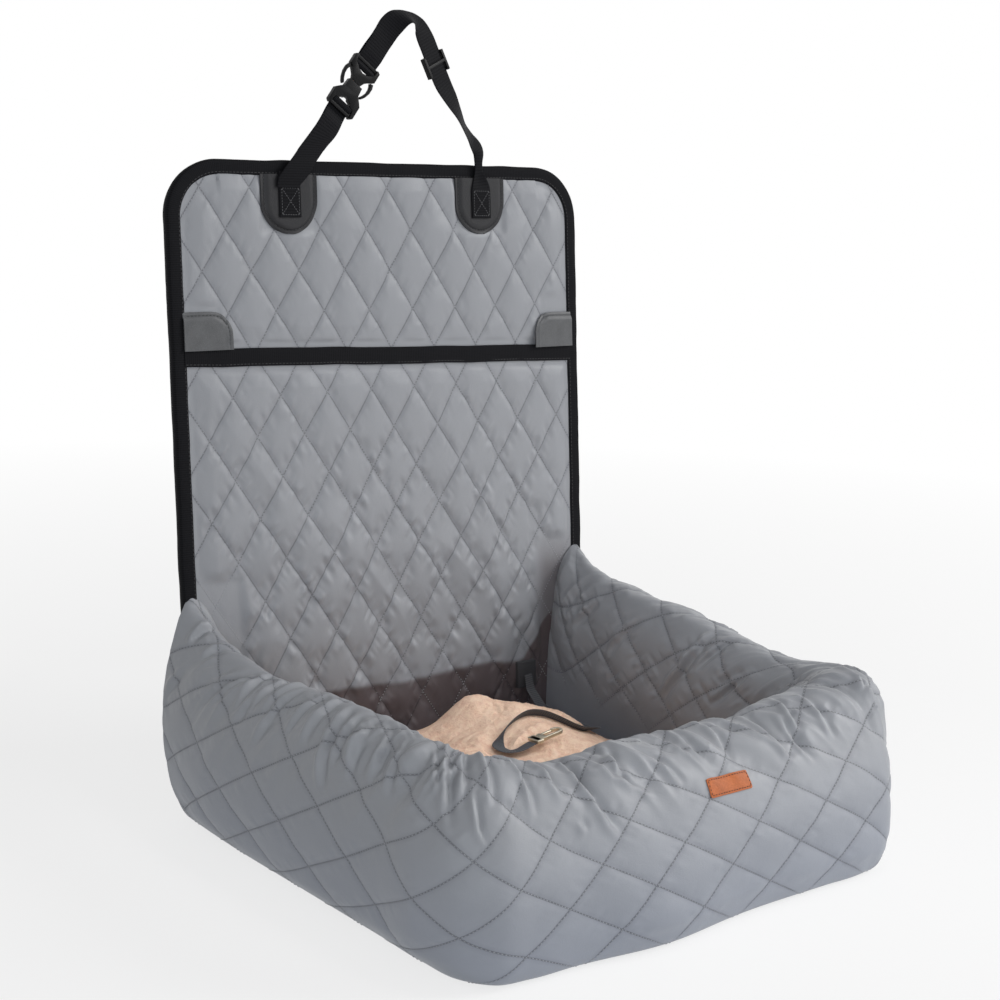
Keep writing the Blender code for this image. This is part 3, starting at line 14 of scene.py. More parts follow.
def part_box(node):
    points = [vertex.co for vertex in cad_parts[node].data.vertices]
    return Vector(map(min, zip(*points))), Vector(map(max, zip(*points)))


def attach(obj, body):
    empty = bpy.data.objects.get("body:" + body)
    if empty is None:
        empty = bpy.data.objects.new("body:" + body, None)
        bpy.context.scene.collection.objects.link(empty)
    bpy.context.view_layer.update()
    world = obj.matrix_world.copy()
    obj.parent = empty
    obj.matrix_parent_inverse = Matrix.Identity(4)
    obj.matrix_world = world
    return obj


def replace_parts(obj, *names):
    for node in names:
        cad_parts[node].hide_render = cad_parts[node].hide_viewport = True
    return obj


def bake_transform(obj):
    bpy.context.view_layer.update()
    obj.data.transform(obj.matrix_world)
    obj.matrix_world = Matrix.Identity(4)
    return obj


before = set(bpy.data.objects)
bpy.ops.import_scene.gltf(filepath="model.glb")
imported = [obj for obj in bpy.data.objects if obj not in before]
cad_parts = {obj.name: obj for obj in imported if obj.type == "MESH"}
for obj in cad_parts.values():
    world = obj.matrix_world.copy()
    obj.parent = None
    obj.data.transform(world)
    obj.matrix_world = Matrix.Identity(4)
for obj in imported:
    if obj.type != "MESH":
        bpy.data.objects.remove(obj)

LOG = logging.getLogger("dog_car_seat")
Array = np.ndarray
Thing = bpy.types.Object
Socket = bpy.types.NodeSocket
Edge = Callable[[Array], Array]
Value = float | Array


class Body(Enum):
    """The moving bodies that a piece can ride on."""

    BED = "bed"
    BACK = "back_panel"
    LOOP = "strap_loop"
    SIDE = "strap_side"
    ARM_LEFT = "arm_left"
    ARM_RIGHT = "arm_right"
    GLIDE = "triglide"
    SLIDER = "zipper_slider"
    PULL = "zipper_pull"
    TETHER = "tether"
    HOOK = "hook"
    GATE = "hook_gate"


class Slot(Enum):
    """The finishes named in the record."""

    CLOTH = "quilted_cover"
    LINING = "lining"
    BOARD = "board"
    FOAM = "foam"
    LABEL = "label"
    PLUSH = "plush"
    BINDING = "binding"
    LEATHER = "leatherette"
    WEBBING = "webbing"
    PLASTIC = "buckle_plastic"
    ZIP = "zip_tape"
    METAL = "bright_metal"


# Numbers and patterns


def fraction(values: Array) -> Array:
    """Part of each value above its whole number."""
    return values - np.floor(values)


def ease(values: Array, low: float, high: float) -> Array:
    """Smooth step from 0 at low to 1 at high."""
    share = np.clip((values - low) / (high - low), 0.0, 1.0)
    return share * share * (3.0 - 2.0 * share)


def scatter(cell_x: Array, cell_y: Array, seed: float) -> Array:
    """Fixed pseudo-random value from 0 to 1 for each cell."""
    return fraction(np.sin(cell_x * 127.1 + cell_y * 311.7 + seed * 74.7) * 43758.5453)


def grain(x: Array, y: Array, seed: float = 0.0) -> Array:
    """Smooth noise from -1 to 1 over a plane, one bump to each unit.

    Args:
        x: First coordinate of each point.
        y: Second coordinate of each point.
        seed: Picks another pattern.

    Returns:
        The noise at each point.
    """
    left, low = np.floor(x), np.floor(y)
    fx, fy = x - left, y - low
    fx, fy = fx * fx * (3 - 2 * fx), fy * fy * (3 - 2 * fy)
    bottom = scatter(left, low, seed) * (1 - fx) + scatter(left + 1, low, seed) * fx
    top = scatter(left, low + 1, seed) * (1 - fx) + scatter(left + 1, low + 1, seed) * fx
    return 2.0 * (bottom * (1 - fy) + top * fy) - 1.0


def relief(first: Array, second: Array, rise: float, pucker: Array, cells: float, seed: float) -> Array:
    """Height of quilted cloth over its seams, which run where either phase is a whole number.

    Args:
        first: Phase across one family of seams.
        second: Phase across the other family.
        rise: Height of the padding in the middle of a diamond.
        pucker: Height of the small creases beside the thread.
        cells: Creases along one side of a diamond.
        seed: Picks another pattern of creases.

    Returns:
        The height at each point.
    """
    arch = [1.0 - (2.0 * fraction(phase) - 1.0) ** 2 for phase in (first, second)]
    height = rise * np.sqrt(arch[0] * arch[1]) ** 0.92
    for across, along, shift in ((first, second, 0.0), (second, first, 9.0)):
        line = np.round(across)
        near = np.abs(across - line)
        ridge = grain(along * cells + line * 5.37, line * 3.1 + across * 1.3, seed + shift)
        fine = grain(along * cells * 2.3 + line * 2.11, line * 1.7 + across * 2.0, seed + shift + 4.0)
        height = height + (pucker * np.exp(-(near / 0.17) ** 2) * (0.75 * ridge + 0.4 * fine)
                           * (0.25 + near / 0.12))
    return height


def hermite(points: Array, places: Array, samples: Array) -> Array:
    """Smooth curve through rows of points.

    Args:
        points: Points, with the curve along the first axis.
        places: Place of each point along the curve.
        samples: Places that are wanted.

    Returns:
        One row of points for each sample.
    """
    slopes = np.empty_like(points)
    spans = np.diff(places).reshape((-1,) + (1,) * (points.ndim - 1))
    steps = np.diff(points, axis=0) / spans
    slopes[0], slopes[-1] = steps[0], steps[-1]
    slopes[1:-1] = (steps[:-1] * spans[1:] + steps[1:] * spans[:-1]) / (spans[1:] + spans[:-1])
    index = np.clip(np.searchsorted(places, samples, side="right") - 1, 0, len(places) - 2)
    span = spans[index]
    share = ((samples - places[index]).reshape((-1,) + (1,) * (points.ndim - 1))) / span
    square, cube = share ** 2, share ** 3
    return ((2 * cube - 3 * square + 1) * points[index] + (cube - 2 * square + share) * span * slopes[index]
            + (3 * square - 2 * cube) * points[index + 1] + (cube - square) * span * slopes[index + 1])


def arc_lengths(points: Array) -> Array:
    """Distance of each point along the line through the points."""
    return np.concatenate([[0.0], np.cumsum(np.linalg.norm(np.diff(points, axis=0), axis=1))])


def resample(points: Array, count: int) -> Array:
    """The line through the points again, with evenly spaced points."""
    lengths = arc_lengths(points)
    return hermite(points, lengths, np.linspace(0.0, lengths[-1], count))


def unit(vectors: Array) -> Array:
    """Each vector at length one."""
    return vectors / np.maximum(np.linalg.norm(vectors, axis=-1, keepdims=True), 1e-12)


def squared(values: Array, power: float) -> Array:
    """Values raised to a power, with their signs kept."""
    return np.sign(values) * np.abs(values) ** power


def round_angles(count: int) -> Array:
    """Even angles round a full turn."""
    return np.linspace(0.0, 2 * math.pi, count, endpoint=False)


def round_corners(a: Array, b: Array, inner_a: float, inner_b: float, radius: float) -> tuple[Array, Array]:
    """Draw points past a rectangle's corners in onto a round.

    Args:
        a: First place of each point from the rectangle's middle.
        b: Second place of each point.
        inner_a: First place of a round's centre.
        inner_b: Second place of a round's centre.
        radius: Radius of the rounds.

    Returns:
        Both places of each point.
    """
    over_a, over_b = np.abs(a) - inner_a, np.abs(b) - inner_b
    far = np.hypot(over_a, over_b)
    outside = (over_a > 0) & (over_b > 0) & (far > radius)
    scale = radius / np.maximum(far, 1e-9)
    return (np.where(outside, np.sign(a) * (inner_a + over_a * scale), a),
            np.where(outside, np.sign(b) * (inner_b + over_b * scale), b))


# Finishes


# What a wave texture's scale is divided by, so that its bands follow a pitch
WAVE_TURN = 6.283


class Graph:
    """A material's nodes, wired as they are added."""

    def __init__(self, name: str, colour: Sequence[float], roughness: float) -> None:
        """Start a material from its shader.

        Args:
            name: Name of the finish.
            colour: Linear red, green and blue.
            roughness: How dull the surface is.
        """
        self.material = bpy.data.materials.new(name)
        self.material.use_nodes = True
        self.tree = self.material.node_tree
        self.shader = self.tree.nodes["Principled BSDF"]
        self.base, self.roughness = colour, roughness
        self.set(Base_Color=colour, Roughness=roughness)
        self.places = self.tree.nodes.new("ShaderNodeTexCoord")

    def feed(self, socket: Socket, value: object) -> None:
        """Wire a socket to another one, or set its constant.

        Args:
            socket: The socket.
            value: Another socket, or a constant.
        """
        if isinstance(value, Socket):
            self.tree.links.new(value, socket)
        else:
            socket.default_value = (*value, 1.0) if socket.type == "RGBA" else value

    def set(self, **values: object) -> None:
        """Wire or set sockets of the shader, named with low lines for their spaces."""
        for key, value in values.items():
            self.feed(self.shader.inputs[key.replace("_", " ")], value)

    def node(self, kind: str, **values: object) -> bpy.types.Node:
        """Add a node; names with a capital letter are its sockets, the others its settings.

        Args:
            kind: Blender's name of the node.
            values: Sockets and settings, with their values.

        Returns:
            The node.
        """
        made = self.tree.nodes.new(kind)
        for key, value in values.items():
            if key[0].isupper():
                self.feed(made.inputs[key.replace("_", " ")], value)
            else:
                setattr(made, key, value)
        return made

    def noise(self, scale: object, detail: float = 3.0, roughness: float = 0.55, turn: float = 0.0) -> Socket:
        """Noise from 0 to 1 over the piece.

        Args:
            scale: Scale per metre, or one for each axis.
            detail: Octaves of finer noise.
            roughness: Strength of the finer noise.
            turn: Turn of the axes about Z, in radians.

        Returns:
            The noise's socket.
        """
        place = self.places.outputs["Object"]
        if isinstance(scale, tuple):
            axes = self.node("ShaderNodeMapping", Vector=place, Scale=scale, Rotation=(0.0, 0.0, turn))
            place, scale = axes.outputs[0], 1.0
        made = self.node("ShaderNodeTexNoise", Vector=place, Scale=scale, Detail=detail, Roughness=roughness)
        return made.outputs["Fac"]

    def cells(self, scale: float) -> Socket:
        """Distance from the middle of small cells."""
        place = self.places.outputs["Object"]
        return self.node("ShaderNodeTexVoronoi", Vector=place, Scale=scale).outputs["Distance"]

    def bands(self, pitch: float, axis: str, wobble: float) -> Socket:
        """Even bands across an axis of the piece's UV map.

        Args:
            pitch: Distance that the bands follow, in metres.
            axis: X or Y.
            wobble: How crooked the bands are.

        Returns:
            The bands' socket.
        """
        made = self.node("ShaderNodeTexWave", Vector=self.places.outputs["UV"], Scale=1.0 / pitch / WAVE_TURN,
                         Distortion=wobble, bands_direction=axis)
        return made.outputs["Fac"]

    def blend(self, share: Socket, low: object, high: object, kind: str = "MIX") -> Socket:
        """A colour blended with another by a share.

        Args:
            share: How much of the second colour is taken.
            low: First colour, or its socket.
            high: Second colour, or its socket.
            kind: Blender's name of the blend.

        Returns:
            The colour's socket.
        """
        made = self.node("ShaderNodeMix", data_type="RGBA", blend_type=kind)
        for place, value in ((0, share), (6, low), (7, high)):
            self.feed(made.inputs[place], value)
        return made.outputs[2]

    def tint(self, base: Socket, share: Socket, factor: Sequence[float]) -> Socket:
        """A colour multiplied by a factor, by a share."""
        return self.blend(share, base, factor, "MULTIPLY")

    def calc(self, kind: str, *values: object) -> Socket:
        """The result of one sum on sockets and numbers.

        Args:
            kind: Blender's name of the sum.
            values: Sockets and numbers, in order.

        Returns:
            The result's socket.
        """
        made = self.node("ShaderNodeMath", operation=kind)
        for socket, value in zip(made.inputs, values):
            self.feed(socket, value)
        return made.outputs[0]

    def sum(self, first: Socket, second: Socket, weight: float) -> Socket:
        """The first value plus a weight of the second."""
        return self.calc("MULTIPLY_ADD", second, weight, first)

    def seam(self, reach: float) -> Socket:
        """How near a marked seam lies, from 0 at a reach to 1 on it.

        Args:
            reach: Share of a diamond's side at which it is 0.

        Returns:
            The nearness's socket.
        """
        marks = self.node("ShaderNodeAttribute", attribute_name="seams").outputs["Vector"]
        parts = self.node("ShaderNodeSeparateXYZ", Vector=marks).outputs
        near = self.calc("MINIMUM", *(self.calc("PINGPONG", part, 0.5) for part in (parts[0], parts[1])))
        line = self.node("ShaderNodeMapRange", Value=near, From_Max=reach, To_Min=1.0, To_Max=0.0).outputs[0]
        return self.calc("MULTIPLY", line, parts[2])

    def spread(self, value: Socket, low: float, high: float) -> Socket:
        """A value from 0 to 1 spread between two limits."""
        return self.node("ShaderNodeMapRange", Value=value, To_Min=low, To_Max=high).outputs[0]

    def shades(self, share: Socket, low: float, high: float) -> Socket:
        """The base colour between two of its shades, by a share."""
        return self.blend(share, shade(self.base, low), shade(self.base, high))

    def dullness(self, value: Socket, low: float, high: float) -> None:
        """Wire the shader's roughness between two parts of the base roughness."""
        self.set(Roughness=self.spread(value, self.roughness * low, self.roughness * high))

    def bump(self, height: Socket, strength: float, distance: float) -> None:
        """Wire a bump, over any bump that is there.

        Args:
            height: The height's socket.
            strength: Strength of the bump, up to 1.
            distance: Height of the bump in metres.
        """
        made = self.node("ShaderNodeBump", Height=height, Strength=strength, Distance=distance)
        old = self.shader.inputs["Normal"].links
        if old:
            self.tree.links.new(old[0].from_socket, made.inputs["Normal"])
        self.set(Normal=made.outputs["Normal"])


def shade(colour: Sequence[float], factor: float) -> tuple[float, ...]:
    """A colour made lighter or darker."""
    return tuple(min(c * factor, 1.0) for c in colour)


@dataclass(frozen=True)
class Finish:
    """A finish, kept once and shared by the pieces that have it."""

    name: str
    colour: tuple[float, float, float]
    roughness: float = 0.6

    def material(self) -> bpy.types.Material:
        """The finish's material, made when it is first asked for.

        Returns:
            The material.
        """
        found = bpy.data.materials.get(self.name)
        if not found:
            graph = Graph(self.name, self.colour, self.roughness)
            self.dress(graph)
            found = graph.material
        return found

    def dress(self, graph: Graph) -> None:
        """Make a plain mottled surface.

        Args:
            graph: The material's nodes.
        """
        mottle = graph.noise(60.0)
        graph.set(Base_Color=graph.shades(mottle, 0.86, 1.12))
        graph.dullness(mottle, 0.9, 1.1)


@dataclass(frozen=True)
class SatinCloth(Finish):
    """Satin-woven cloth with a fine twill grain and a soft sheen."""

    sheen: float = 0.12

    def dress(self, graph: Graph) -> None:
        """Make the cloth: threads, mottling, a broad soft shine, and painted light: a cool reflection low
        down, shade along its seams and deep shade at the panel's foot.

        Args:
            graph: The material's nodes.
        """
        threads = graph.noise((620.0, 620.0, 1900.0), 2.0)
        weft = graph.noise((1500.0, 1500.0, 480.0), 2.0)
        cloud = graph.noise(14.0, 4.0)
        tone = graph.sum(graph.sum(threads, weft, 0.7), cloud, 0.55)
        tone = graph.spread(tone, -0.45, 1.15)
        plain = graph.shades(tone, 0.80, 1.20)
        # Painted cool reflection: the cloth is tinted bluer below 13 cm, most at 2 cm over the floor
        height = graph.node("ShaderNodeSeparateXYZ", Vector=graph.places.outputs["Object"]).outputs["Z"]
        low = graph.node("ShaderNodeMapRange", Value=height, From_Min=0.13, From_Max=0.02, To_Max=0.55)
        painted_cool_cast = graph.tint(plain, low.outputs[0], (0.93, 0.99, 1.12))
        # Painted shade: a soft darkening beside each marked seam, and a dark line in the seam's groove
        seam_side_shade = graph.tint(painted_cool_cast, graph.seam(0.09), (0.88, 0.88, 0.89))
        sewn = graph.tint(seam_side_shade, graph.seam(0.022), (0.50, 0.50, 0.52))
        # Painted deep shade at the panel's foot and beside the right bolster, read from the shade mark
        deep = graph.node("ShaderNodeAttribute", attribute_name="shade").outputs["Fac"]
        graph.set(Base_Color=graph.tint(sewn, deep, (0.30, 0.225, 0.215)))
        graph.dullness(cloud, 0.90, 1.12)
        graph.bump(graph.sum(threads, weft, 0.8), 0.30, 0.0004)
        graph.bump(graph.noise(95.0, 3.0), 0.20, 0.0012)
        graph.set(Sheen_Weight=self.sheen, Sheen_Roughness=0.35, Specular_IOR_Level=0.42, Anisotropic=0.35)


@dataclass(frozen=True)
class RibbedTape(Finish):
    """Woven tape, ribbed across its length, on the piece's own UV map."""

    pitch: float = 0.0011

    def dress(self, graph: Graph) -> None:
        """Make the tape: ribs, lengthwise yarns and a faint shine.

        Args:
            graph: The material's nodes.
        """
        ribs = graph.bands(self.pitch, "X", 0.6)
        yarns = graph.bands(self.pitch / 1.6, "Y", 1.2)
        fuzz = graph.noise(700.0, 3.0)
        weave = graph.sum(graph.sum(ribs, yarns, 0.6), fuzz, 0.5)
        tone = graph.spread(weave, -0.2, 0.9)
        graph.set(Base_Color=graph.shades(tone, 0.55, 1.9))
        graph.dullness(fuzz, 0.85, 1.15)
        graph.bump(weave, 0.35, 0.0002)
        graph.set(Specular_IOR_Level=0.03)


@dataclass(frozen=True)
class Hide(Finish):
    """Leather or leatherette with a fine pebbled grain."""

    pebble: float = 900.0
    gloss: float = 0.2

    def dress(self, graph: Graph) -> None:
        """Make the hide: pebbles, creases and worn light patches.

        Args:
            graph: The material's nodes.
        """
        pebbles = graph.cells(self.pebble)
        wear = graph.noise(70.0, 5.0)
        tone = graph.spread(graph.sum(wear, pebbles, 0.35), -0.25, 1.05)
        graph.set(Base_Color=graph.shades(tone, 0.72, 1.28))
        graph.dullness(wear, 0.8, 1.25)
        graph.bump(pebbles, 0.30, 0.0004)
        graph.bump(graph.noise(240.0, 4.0), 0.22, 0.0008)
        graph.set(Specular_IOR_Level=0.26, Coat_Weight=self.gloss * 0.4, Coat_Roughness=0.35)


@dataclass(frozen=True)
class Pile(Finish):
    """Short plush pile with brushed streaks and clumps."""

    def dress(self, graph: Graph) -> None:
        """Make the pile: clumps and hair streaks painted from shadow to light, and a strong sheen.

        Args:
            graph: The material's nodes.
        """
        clumps = graph.noise(130.0, 5.0, 0.65)
        hairs = graph.noise((900.0, 420.0, 900.0), turn=0.5)
        tone = graph.sum(clumps, hairs, 0.6)
        # Painted shade and light: the pile's colour runs from a reddish shadow colour to a lighter lit colour
        # over its clumps and streaks
        shadow = (self.colour[0] * 0.66, self.colour[1] * 0.50, self.colour[2] * 0.46)
        graph.set(Base_Color=graph.blend(graph.spread(tone, -0.40, 1.15), shadow, shade(self.colour, 1.15)))
        graph.bump(hairs, 0.55, 0.0012)
        graph.bump(clumps, 0.6, 0.004)
        graph.set(Sheen_Weight=0.7, Sheen_Tint=self.colour, Sheen_Roughness=0.4, Specular_IOR_Level=0.15,
                  Subsurface_Weight=0.08, Subsurface_Radius=(0.01, 0.006, 0.004))


@dataclass(frozen=True)
class Moulded(Finish):
    """Moulded plastic with a fine spark-eroded texture."""

    def dress(self, graph: Graph) -> None:
        """Make the plastic: a fine stipple with rubbed spots.

        Args:
            graph: The material's nodes.
        """
        stipple = graph.noise(2200.0, 2.0)
        rubbed = graph.noise(160.0, 4.0)
        graph.set(Base_Color=graph.shades(rubbed, 0.8, 1.35))
        graph.dullness(rubbed, 0.8, 1.2)
        graph.bump(stipple, 0.12, 0.0002)
        graph.set(Specular_IOR_Level=0.12)


@dataclass(frozen=True)
class Plated(Finish):
    """Plated metal with fine scratches and dulled patches."""

    def dress(self, graph: Graph) -> None:
        """Make the metal: brushed scratches and a warm stain.

        Args:
            graph: The material's nodes.
        """
        graph.set(Metallic=1.0)
        scratch = graph.noise((260.0, 2400.0, 2400.0))
        stain = graph.noise(210.0, 4.0)
        graph.set(Base_Color=graph.shades(stain, 0.78, 1.12))
        graph.dullness(scratch, 0.7, 1.5)
        graph.bump(scratch, 0.10, 0.0002)


@dataclass(frozen=True)
class Filling(Finish):
    """Open foam or fibre, hidden inside the covers."""

    def dress(self, graph: Graph) -> None:
        """Make the filling: small open cells.

        Args:
            graph: The material's nodes.
        """
        cells = graph.cells(520.0)
        graph.set(Base_Color=graph.shades(cells, 0.7, 1.05))
        graph.bump(cells, 0.5, 0.001)


COVER = SatinCloth("grey_satin_cloth", (0.236, 0.243, 0.260), 0.43)
LINING = SatinCloth("dark_lining_cloth", (0.030, 0.030, 0.033), 0.70, 0.15)
BINDING = RibbedTape("black_binding_tape", (0.0075, 0.0075, 0.0085), 0.62)
WEBBING = RibbedTape("black_webbing_weave", (0.0070, 0.0070, 0.0080), 0.50, 0.0016)
# The tether's dark webbing is lightened to grey: partly its own colour, partly painted sheen
TETHER_WEAVE = RibbedTape("tether_webbing_weave", (0.066, 0.068, 0.074), 0.45, 0.0012)
LEATHER = Hide("dark_leatherette", (0.014, 0.014, 0.016), 0.46, 900.0, 0.02)
TAB = Hide("grey_tab_leatherette", (0.088, 0.090, 0.094), 0.42)
TAN = Hide("tan_label_leather", (0.42, 0.120, 0.038), 0.55, 700.0, 0.05)
PLUSH = Pile("peach_plush_pile", (1.0, 0.645, 0.490), 0.9)
PLASTIC = Moulded("black_moulded_plastic", (0.004, 0.004, 0.0045), 0.40)
METAL = Plated("pale_plated_metal", (0.66, 0.60, 0.47), 0.28)
FOAM = Filling("white_filling", (0.74, 0.72, 0.65), 0.9)
BOARD = Finish("pressed_fibre_board", (0.20, 0.14, 0.09), 0.8)
ZIP = Moulded("grey_zip_coil", (0.075, 0.077, 0.082), 0.45)
THREAD = Finish("grey_sewing_thread", (0.300, 0.308, 0.325), 0.55)
DARK_THREAD = Finish("dark_sewing_thread", (0.022, 0.022, 0.024), 0.55)
BOX_THREAD = Finish("strap_box_thread", (0.055, 0.056, 0.060), 0.5)
EDGE_THREAD = Finish("brown_label_thread", (0.060, 0.012, 0.006), 0.6)


# Mesh work


class Bench:
    """Mesh work on one piece at a time, with Blender's own tools."""

    @staticmethod
    def clear() -> None:
        """Deselect everything."""
        bpy.ops.object.select_all(action="DESELECT")

    @staticmethod
    def pick(piece: Thing) -> None:
        """Make a piece the only selected one, and the active one.

        Args:
            piece: The piece.
        """
        Bench.clear()
        piece.select_set(True)
        bpy.context.view_layer.objects.active = piece

    @staticmethod
    def grid(name: str, columns: int, rows: int) -> tuple[Thing, Array, Array]:
        """A flat grid over the unit square.

        Args:
            name: Name of the piece.
            columns: Faces along the first direction.
            rows: Faces along the second direction.

        Returns:
            The piece, and each vertex's share along both directions.
        """
        Bench.clear()
        bpy.ops.mesh.primitive_grid_add(x_subdivisions=columns, y_subdivisions=rows, size=1.0)
        piece = bpy.context.object
        piece.name = piece.data.name = name
        flat = Bench.points(piece)
        return piece, flat[:, 0] + 0.5, flat[:, 1] + 0.5

    @staticmethod
    def points(piece: Thing) -> Array:
        """The piece's vertices.

        Args:
            piece: The piece.

        Returns:
            One row for each vertex.
        """
        found = np.empty(len(piece.data.vertices) * 3, np.float32)
        piece.data.vertices.foreach_get("co", found)
        return found.reshape(-1, 3).astype(float)

    @staticmethod
    def reshape(piece: Thing, points: Array) -> None:
        """Move every vertex to its point."""
        piece.data.vertices.foreach_set("co", np.ascontiguousarray(points, np.float32).ravel())
        piece.data.update()

    @staticmethod
    def unwrap(piece: Thing, along: Array, across: Array) -> None:
        """Give the piece a UV map in metres, from a value for each vertex.

        Args:
            piece: The piece.
            along: First value of each vertex.
            across: Second value of each vertex.
        """
        layer = piece.data.uv_layers.active or piece.data.uv_layers.new(name="UVMap")
        corners = np.empty(len(piece.data.loops), np.int32)
        piece.data.loops.foreach_get("vertex_index", corners)
        flat = np.stack([along[corners], across[corners]], axis=1).astype(np.float32)
        layer.data.foreach_set("uv", flat.ravel())

    @staticmethod
    def mark(piece: Thing, name: str, values: Array) -> None:
        """Give each vertex a number, or three numbers, that its finish reads by name.

        Args:
            piece: The piece.
            name: Name of the mark.
            values: One value, or three, for each vertex.
        """
        plain = values.ndim == 1
        layer = piece.data.attributes.new(name, "FLOAT" if plain else "FLOAT_VECTOR", "POINT")
        layer.data.foreach_set("value" if plain else "vector", values.astype(np.float32).ravel())

    @staticmethod
    def edit(piece: Thing, work: Callable[[], None]) -> None:
        """Do some work in edit mode with everything selected.

        Args:
            piece: The piece.
            work: What is done to it.
        """
        Bench.pick(piece)
        bpy.ops.object.mode_set(mode="EDIT")
        bpy.ops.mesh.select_all(action="SELECT")
        work()
        bpy.ops.object.mode_set(mode="OBJECT")

    @staticmethod
    def weld(piece: Thing, distance: float = 1e-6, flats: bool = False) -> None:
        """Merge doubled vertices and turn every face outwards.

        Args:
            piece: The piece.
            distance: How near two vertices are merged.
            flats: Whether the edges inside flat faces are cleared.
        """

        def work() -> None:
            """Merge, then turn the faces."""
            bpy.ops.mesh.remove_doubles(threshold=distance)
            if flats:
                bpy.ops.mesh.dissolve_limited(angle_limit=math.radians(1.0))
            else:
                bpy.ops.mesh.dissolve_degenerate(threshold=distance)
            bpy.ops.mesh.select_all(action="SELECT")
            bpy.ops.mesh.normals_make_consistent(inside=False)

        Bench.edit(piece, work)

    @staticmethod
    def modify(piece: Thing, kind: str, **settings: object) -> None:
        """Add a modifier, set it and apply it.

        Args:
            piece: The piece.
            kind: Blender's name of the modifier.
            settings: The modifier's settings.
        """
        Bench.pick(piece)
        made = piece.modifiers.new(kind.lower(), kind)
        for key, value in settings.items():
            setattr(made, key, value)
        bpy.ops.object.modifier_apply(modifier=made.name)

    @staticmethod
    def smooth(piece: Thing, degrees: float = 40.0) -> None:
        """Shade smoothly, with a sharp edge past an angle."""
        Bench.pick(piece)
        bpy.ops.object.shade_smooth_by_angle(angle=math.radians(degrees))

    @staticmethod
    def thicken(piece: Thing, thickness: float, offset: float = -1.0) -> None:
        """Give a sheet a thickness behind its front."""
        Bench.modify(piece, "SOLIDIFY", thickness=thickness, offset=offset, use_rim=True)

    @staticmethod
    def finish(piece: Thing, finish: Finish, slot: Slot, degrees: float = 40.0) -> Thing:
        """Shade and dress a piece.

        Args:
            piece: The piece.
            finish: Its finish.
            slot: The finish's name in the record; not used.
            degrees: Angle past which an edge is sharp.

        Returns:
            The piece.
        """
        Bench.smooth(piece, degrees)
        piece.data.materials.clear()
        piece.data.materials.append(finish.material())
        LOG.info("%s: %d faces", piece.name, len(piece.data.polygons))
        return piece

    @staticmethod
    def skin(name: str, rings: Array, caps: bool = True, seams: Optional[Array] = None) -> Thing:
        """A closed form through rings of points, with its ends drawn in to their middles.

        Args:
            name: Name of the piece.
            rings: Points as rings, points round a ring, and coordinates.
            caps: Whether the ends are closed.
            seams: Both seam phases and the seams' strength at each point, if it is quilted.

        Returns:
            The piece, with a UV map along and round it in metres.
        """
        if caps:
            first, last = rings[0].mean(axis=0), rings[-1].mean(axis=0)
            ends = (0.0, 0.45, 0.8, 0.96)
            start = [first + (rings[0] - first) * share for share in ends]
            finish = [last + (rings[-1] - last) * share for share in reversed(ends)]
            rings = np.concatenate([start, rings, finish])
            if seams is not None:
                seams = np.pad(seams, ((len(ends), len(ends)), (0, 0), (0, 0)), mode="edge")
        count, around = rings.shape[:2]
        piece, u, v = Bench.grid(name, count - 1, around)
        row = np.rint(u * (count - 1)).astype(int)
        step = np.rint(v * around).astype(int)
        Bench.reshape(piece, rings[row, step % around])
        middle = rings.mean(axis=1)
        along = arc_lengths(middle)
        girth = np.linalg.norm(np.diff(np.concatenate([rings, rings[:, :1]], axis=1), axis=1), axis=2)
        across = np.concatenate([np.zeros((count, 1)), np.cumsum(girth, axis=1)], axis=1)
        Bench.unwrap(piece, along[row], across[row, step])
        if seams is not None:
            Bench.mark(piece, "seams", seams[row, step % around])
        Bench.weld(piece)
        return piece

    @staticmethod
    def softened(name: str, node: str, width: float, segments: int = 2) -> Thing:
        """A copy of a CAD node with its edges rounded.

        Args:
            name: Name of the piece.
            node: The node that it follows.
            width: Width of the rounding.
            segments: Faces across the rounding.

        Returns:
            The piece, at the node's place.
        """
        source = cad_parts[node]
        Bench.clear()
        piece = bpy.data.objects.new(name, source.data.copy())
        piece.data.name = name
        bpy.context.scene.collection.objects.link(piece)
        Bench.weld(piece, flats=True)
        Bench.modify(piece, "BEVEL", width=width, segments=segments, limit_method="ANGLE",
                     angle_limit=math.radians(28.0), miter_outer="MITER_ARC", use_clamp_overlap=True)
        return piece


    @staticmethod
    def hardware(finish: Finish, slot: Slot, *rows: tuple[str, str, Body, float]) -> list[Thing]:
        """Copies of CAD nodes with their edges rounded, each in its node's place.

        Args:
            finish: Their finish.
            slot: The finish's name in the record.
            rows: Name, node, body and width of the rounding of each piece.

        Returns:
            The pieces.
        """
        made = []
        for name, node, body, width in rows:
            piece = Bench.finish(Bench.softened(name, node, width, 3), finish, slot, 35.0)
            made.append(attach(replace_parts(piece, node), body.value))
        return made

